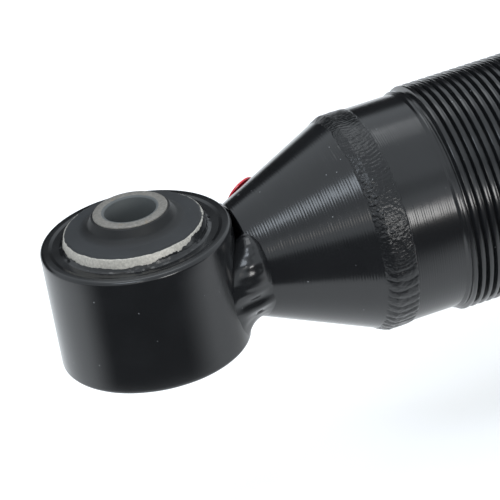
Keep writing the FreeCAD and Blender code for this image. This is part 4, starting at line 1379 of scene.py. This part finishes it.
@dataclass
class Studio:
    """Pale floor, soft lamps, black cards that only reflections see, and the camera."""

    azimuth: float = -15.75
    elevation: float = 27.64
    roll: float = -10.7
    distance: float = 1.0479
    offset: Point = (0.02413, 0.00945)
    lens: float = 324.3
    sky: float = 1.05
    sky_colour: Colour = (0.92, 0.985, 1.04)
    floor_glow: float = 0.27
    mat_edge: float = 0.085
    strip_distance: float = 1.15
    strip_top: float = 0.3
    veil_heights: Point = (0.7, 1.35)
    veil_strength: float = 0.4
    arc_start: float = -104
    arc_sweep: float = 168
    arc_steps: int = 24

    def build(self) -> None:
        """Sets the stage."""
        self.make_camera()
        self.make_sky()
        self.make_floor()
        self.make_lamps()
        self.make_cards()
        bpy.context.scene.view_settings.view_transform = "Standard"
        bpy.context.scene.view_settings.look = "None"

    def direction(self, azimuth: float, elevation: float) -> Vector:
        """The unit vector towards an azimuth from -Y towards +X, and an elevation, in degrees."""
        a, e = math.radians(azimuth), math.radians(elevation)
        return Vector((math.sin(a) * math.cos(e), -math.cos(a) * math.cos(e), math.sin(e)))

    def make_camera(self) -> None:
        """A long lens that looks down on the lower eye."""
        back = self.direction(self.azimuth, self.elevation)
        level = Vector((0, 0, 1)).cross(back).normalized()
        upright = back.cross(level)
        r = math.radians(self.roll)
        right = level * math.cos(r) + upright * math.sin(r)
        up = upright * math.cos(r) - level * math.sin(r)
        lens = bpy.data.cameras.new("camera")
        lens.lens = self.lens
        lens.sensor_width = 36
        lens.clip_start, lens.clip_end = 0.05, 50
        camera = bpy.data.objects.new("camera", lens)
        place = right * self.offset[0] + up * self.offset[1] + back * self.distance
        turn = Matrix((right, up, back)).transposed().to_4x4()
        camera.matrix_world = Matrix.Translation(place) @ turn
        bpy.context.scene.collection.objects.link(camera)
        bpy.context.scene.camera = camera

    def make_sky(self) -> None:
        """An even white sky."""
        world = bpy.data.worlds.new("sky")
        world.use_nodes = True
        graph = Graph(world.node_tree)
        light = graph.node("ShaderNodeBackground",
                           sockets={"Color": (*self.sky_colour, 1), "Strength": self.sky})
        out = world.node_tree.nodes.new("ShaderNodeOutputWorld")
        world.node_tree.links.new(light.socket, out.inputs["Surface"])
        bpy.context.scene.world = world

    def make_floor(self) -> None:
        """The floor just under the shock's lowest edge."""
        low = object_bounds()[0]
        floor = self.card("floor", Vector((0, 0, low.z - 0.5 * MM)), Vector((0, 0, 1)), 8, 8)
        s = Surface("floor_paper")
        tone = s.mix(s.grain(90, 2.0), (0.86, 0.86, 0.86), (0.9, 0.9, 0.9))
        paper = s.finish(Base_Color=tone, Roughness=0.9, Emission_Color=(1, 1, 1, 1),
                         Emission_Strength=self.floor_glow)
        floor.data.materials.append(paper)
        floor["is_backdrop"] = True

    def card(self, name: str, centre: Vector, normal: Vector, width: float,
             height: float) -> bpy.types.Object:
        """A flat card.

        Args:
            name: its name.
            centre: its middle.
            normal: the way it faces.
            width: its size across.
            height: its size up.
        Returns:
            The card.
        """
        turn = normal.to_track_quat("Z", "Y").to_matrix().to_4x4()
        signs = ((-1, -1), (1, -1), (1, 1), (-1, 1))
        corners = [Vector((x * width / 2, y * height / 2, 0)) for x, y in signs]
        mesh = bpy.data.meshes.new(name)
        mesh.from_pydata([tuple(Matrix.Translation(centre) @ turn @ c) for c in corners], [], [(0, 1, 2, 3)])
        return new_object(name, mesh)

    def make_lamps(self) -> None:
        """The soft lamps: azimuth, elevation, width, height, brightness and colour of each."""
        lamps = [
            ("front_strip", 14, 13.5, 0.3, 0.22, 11.0, (1, 0.99, 0.97)),
            ("high_side", -42, 61, 0.36, 0.26, 5.6, (0.86, 0.95, 1.05)),
            ("low_side", -23, 27, 0.26, 0.1, 2.1, (1, 0.92, 0.82)),
            ("spark", -18, 34, 0.09, 0.1, 10.0, (1, 1, 1)),
            ("overhead", 164, 68, 0.5, 0.4, 2.1, (0.95, 0.98, 1)),
        ]
        for name, azimuth, elevation, width, height, brightness, colour in lamps:
            light = bpy.data.lights.new(name, "AREA")
            light.shape = "RECTANGLE"
            light.size, light.size_y = width, height
            light.energy = brightness * math.pi * width * height
            light.color = colour
            lamp = bpy.data.objects.new(name, light)
            back = self.direction(azimuth, elevation)
            lamp.location = back
            lamp.rotation_euler = back.to_track_quat("Z", "Y").to_euler()
            lamp.visible_camera = False
            bpy.context.scene.collection.objects.link(lamp)

    def soft_black(self, name: str, mask: Callable[[Surface], Value]) -> bpy.types.Material:
        """Black that fades out.

        Args:
            name: the material's name.
            mask: gives 1 where it is black and 0 where it is clear.
        Returns:
            The material.
        """
        s = Surface(name)
        tone = s.mix(s.grain(50, 1.0), (0.01, 0.01, 0.01), (0.016, 0.014, 0.012))
        black = s.node("ShaderNodeBsdfDiffuse", sockets={"Color": tone})
        clear = s.node("ShaderNodeBsdfTransparent")
        return s.shown(s.node("ShaderNodeMixShader", sockets={0: mask(s), 1: clear, 2: black}))

    def make_cards(self) -> None:
        """Soft-edged black cards that only reflections see: a mat, a strip, a veil, and one behind."""

        def azimuth_of(s: Surface) -> Value:
            """The place's azimuth from -Y towards +X, in degrees."""
            return s.coordinate("x").math("ARCTAN2", -s.coordinate("y")) * (360 / TURN)

        def mat_mask(s: Surface) -> Value:
            """Fades at both ends of the mat's arc, which widens outwards."""
            azimuth = azimuth_of(s)
            past = (s.from_eye_axis() - 130.0).math("MAXIMUM", 0.0)
            return azimuth.between(-100, -62) * (azimuth - past * 0.15).between(60, 14)

        def strip_mask(s: Surface) -> Value:
            """Fades at the ends and along the top."""
            azimuth = azimuth_of(s)
            return azimuth.between(-100, -62) * azimuth.between(70, 35) * s.coordinate("z").between(290, 150)

        def veil_mask(s: Surface) -> Value:
            """A thin grey band that fades above and below."""
            z = s.coordinate("z")
            fades = z.between(700, 860) * z.between(1340, 1150) * azimuth_of(s).between(64, 50)
            return fades * self.veil_strength

        def back_mask(s: Surface) -> Value:
            """Fades above and below."""
            z = s.coordinate("z")
            return z.between(700, 470) * z.between(-120, 60) * s.coordinate("x").between(800, 500)

        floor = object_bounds()[0].z + 0.6 * MM
        steps = self.arc_steps
        rim = [self.direction(self.arc_start + self.arc_sweep * k / steps, 0) for k in range(steps + 1)]

        def fan(name: str, near: tuple, far: tuple) -> bpy.types.Object:
            """A band round the arc, between two (radius, height) edges."""
            corners = [(d.x * r, d.y * r, z) for r, z in (near, far) for d in rim]
            faces = [(k, k + 1, k + steps + 2, k + steps + 1) for k in range(steps)]
            mesh = bpy.data.meshes.new(name)
            mesh.from_pydata(corners, [], faces)
            return new_object(name, mesh)

        far = self.strip_distance
        low, high = self.veil_heights
        cards = [
            (fan("front_mat", (self.mat_edge, floor), (far, floor)), mat_mask),
            (fan("front_strip_card", (far, floor), (far, self.strip_top)), strip_mask),
            (fan("front_veil", (far, low), (far, high)), veil_mask),
            (self.card("back_card", Vector((0.1, 0.9, 0.3)), Vector((0, -1, 0)), 2.0, 0.9), back_mask),
        ]
        for thing, mask in cards:
            thing.data.materials.append(self.soft_black(f"{thing.name}_black", mask))
            thing.visible_camera = False
            thing.visible_diffuse = False
            thing.visible_shadow = False
            thing.visible_transmission = False
            thing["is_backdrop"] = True


# ------------------------------------------------------------------ the whole shock


def main() -> None:
    """Builds the sub-assemblies in order, then the studio."""
    logging.basicConfig(level=logging.INFO, format="%(name)s: %(message)s")
    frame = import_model()
    palette = Palette()
    nodes = frame["nodes"]
    LowerEye(palette, nodes).build()
    ConeEnd(palette, nodes).build()
    DamperTube(palette, nodes).build()
    SpringSet(palette, nodes).build()
    RodSet(palette, nodes).build()
    TopMount(palette, nodes).build()
    Studio().build()


if __name__ == "__main__":
    main()
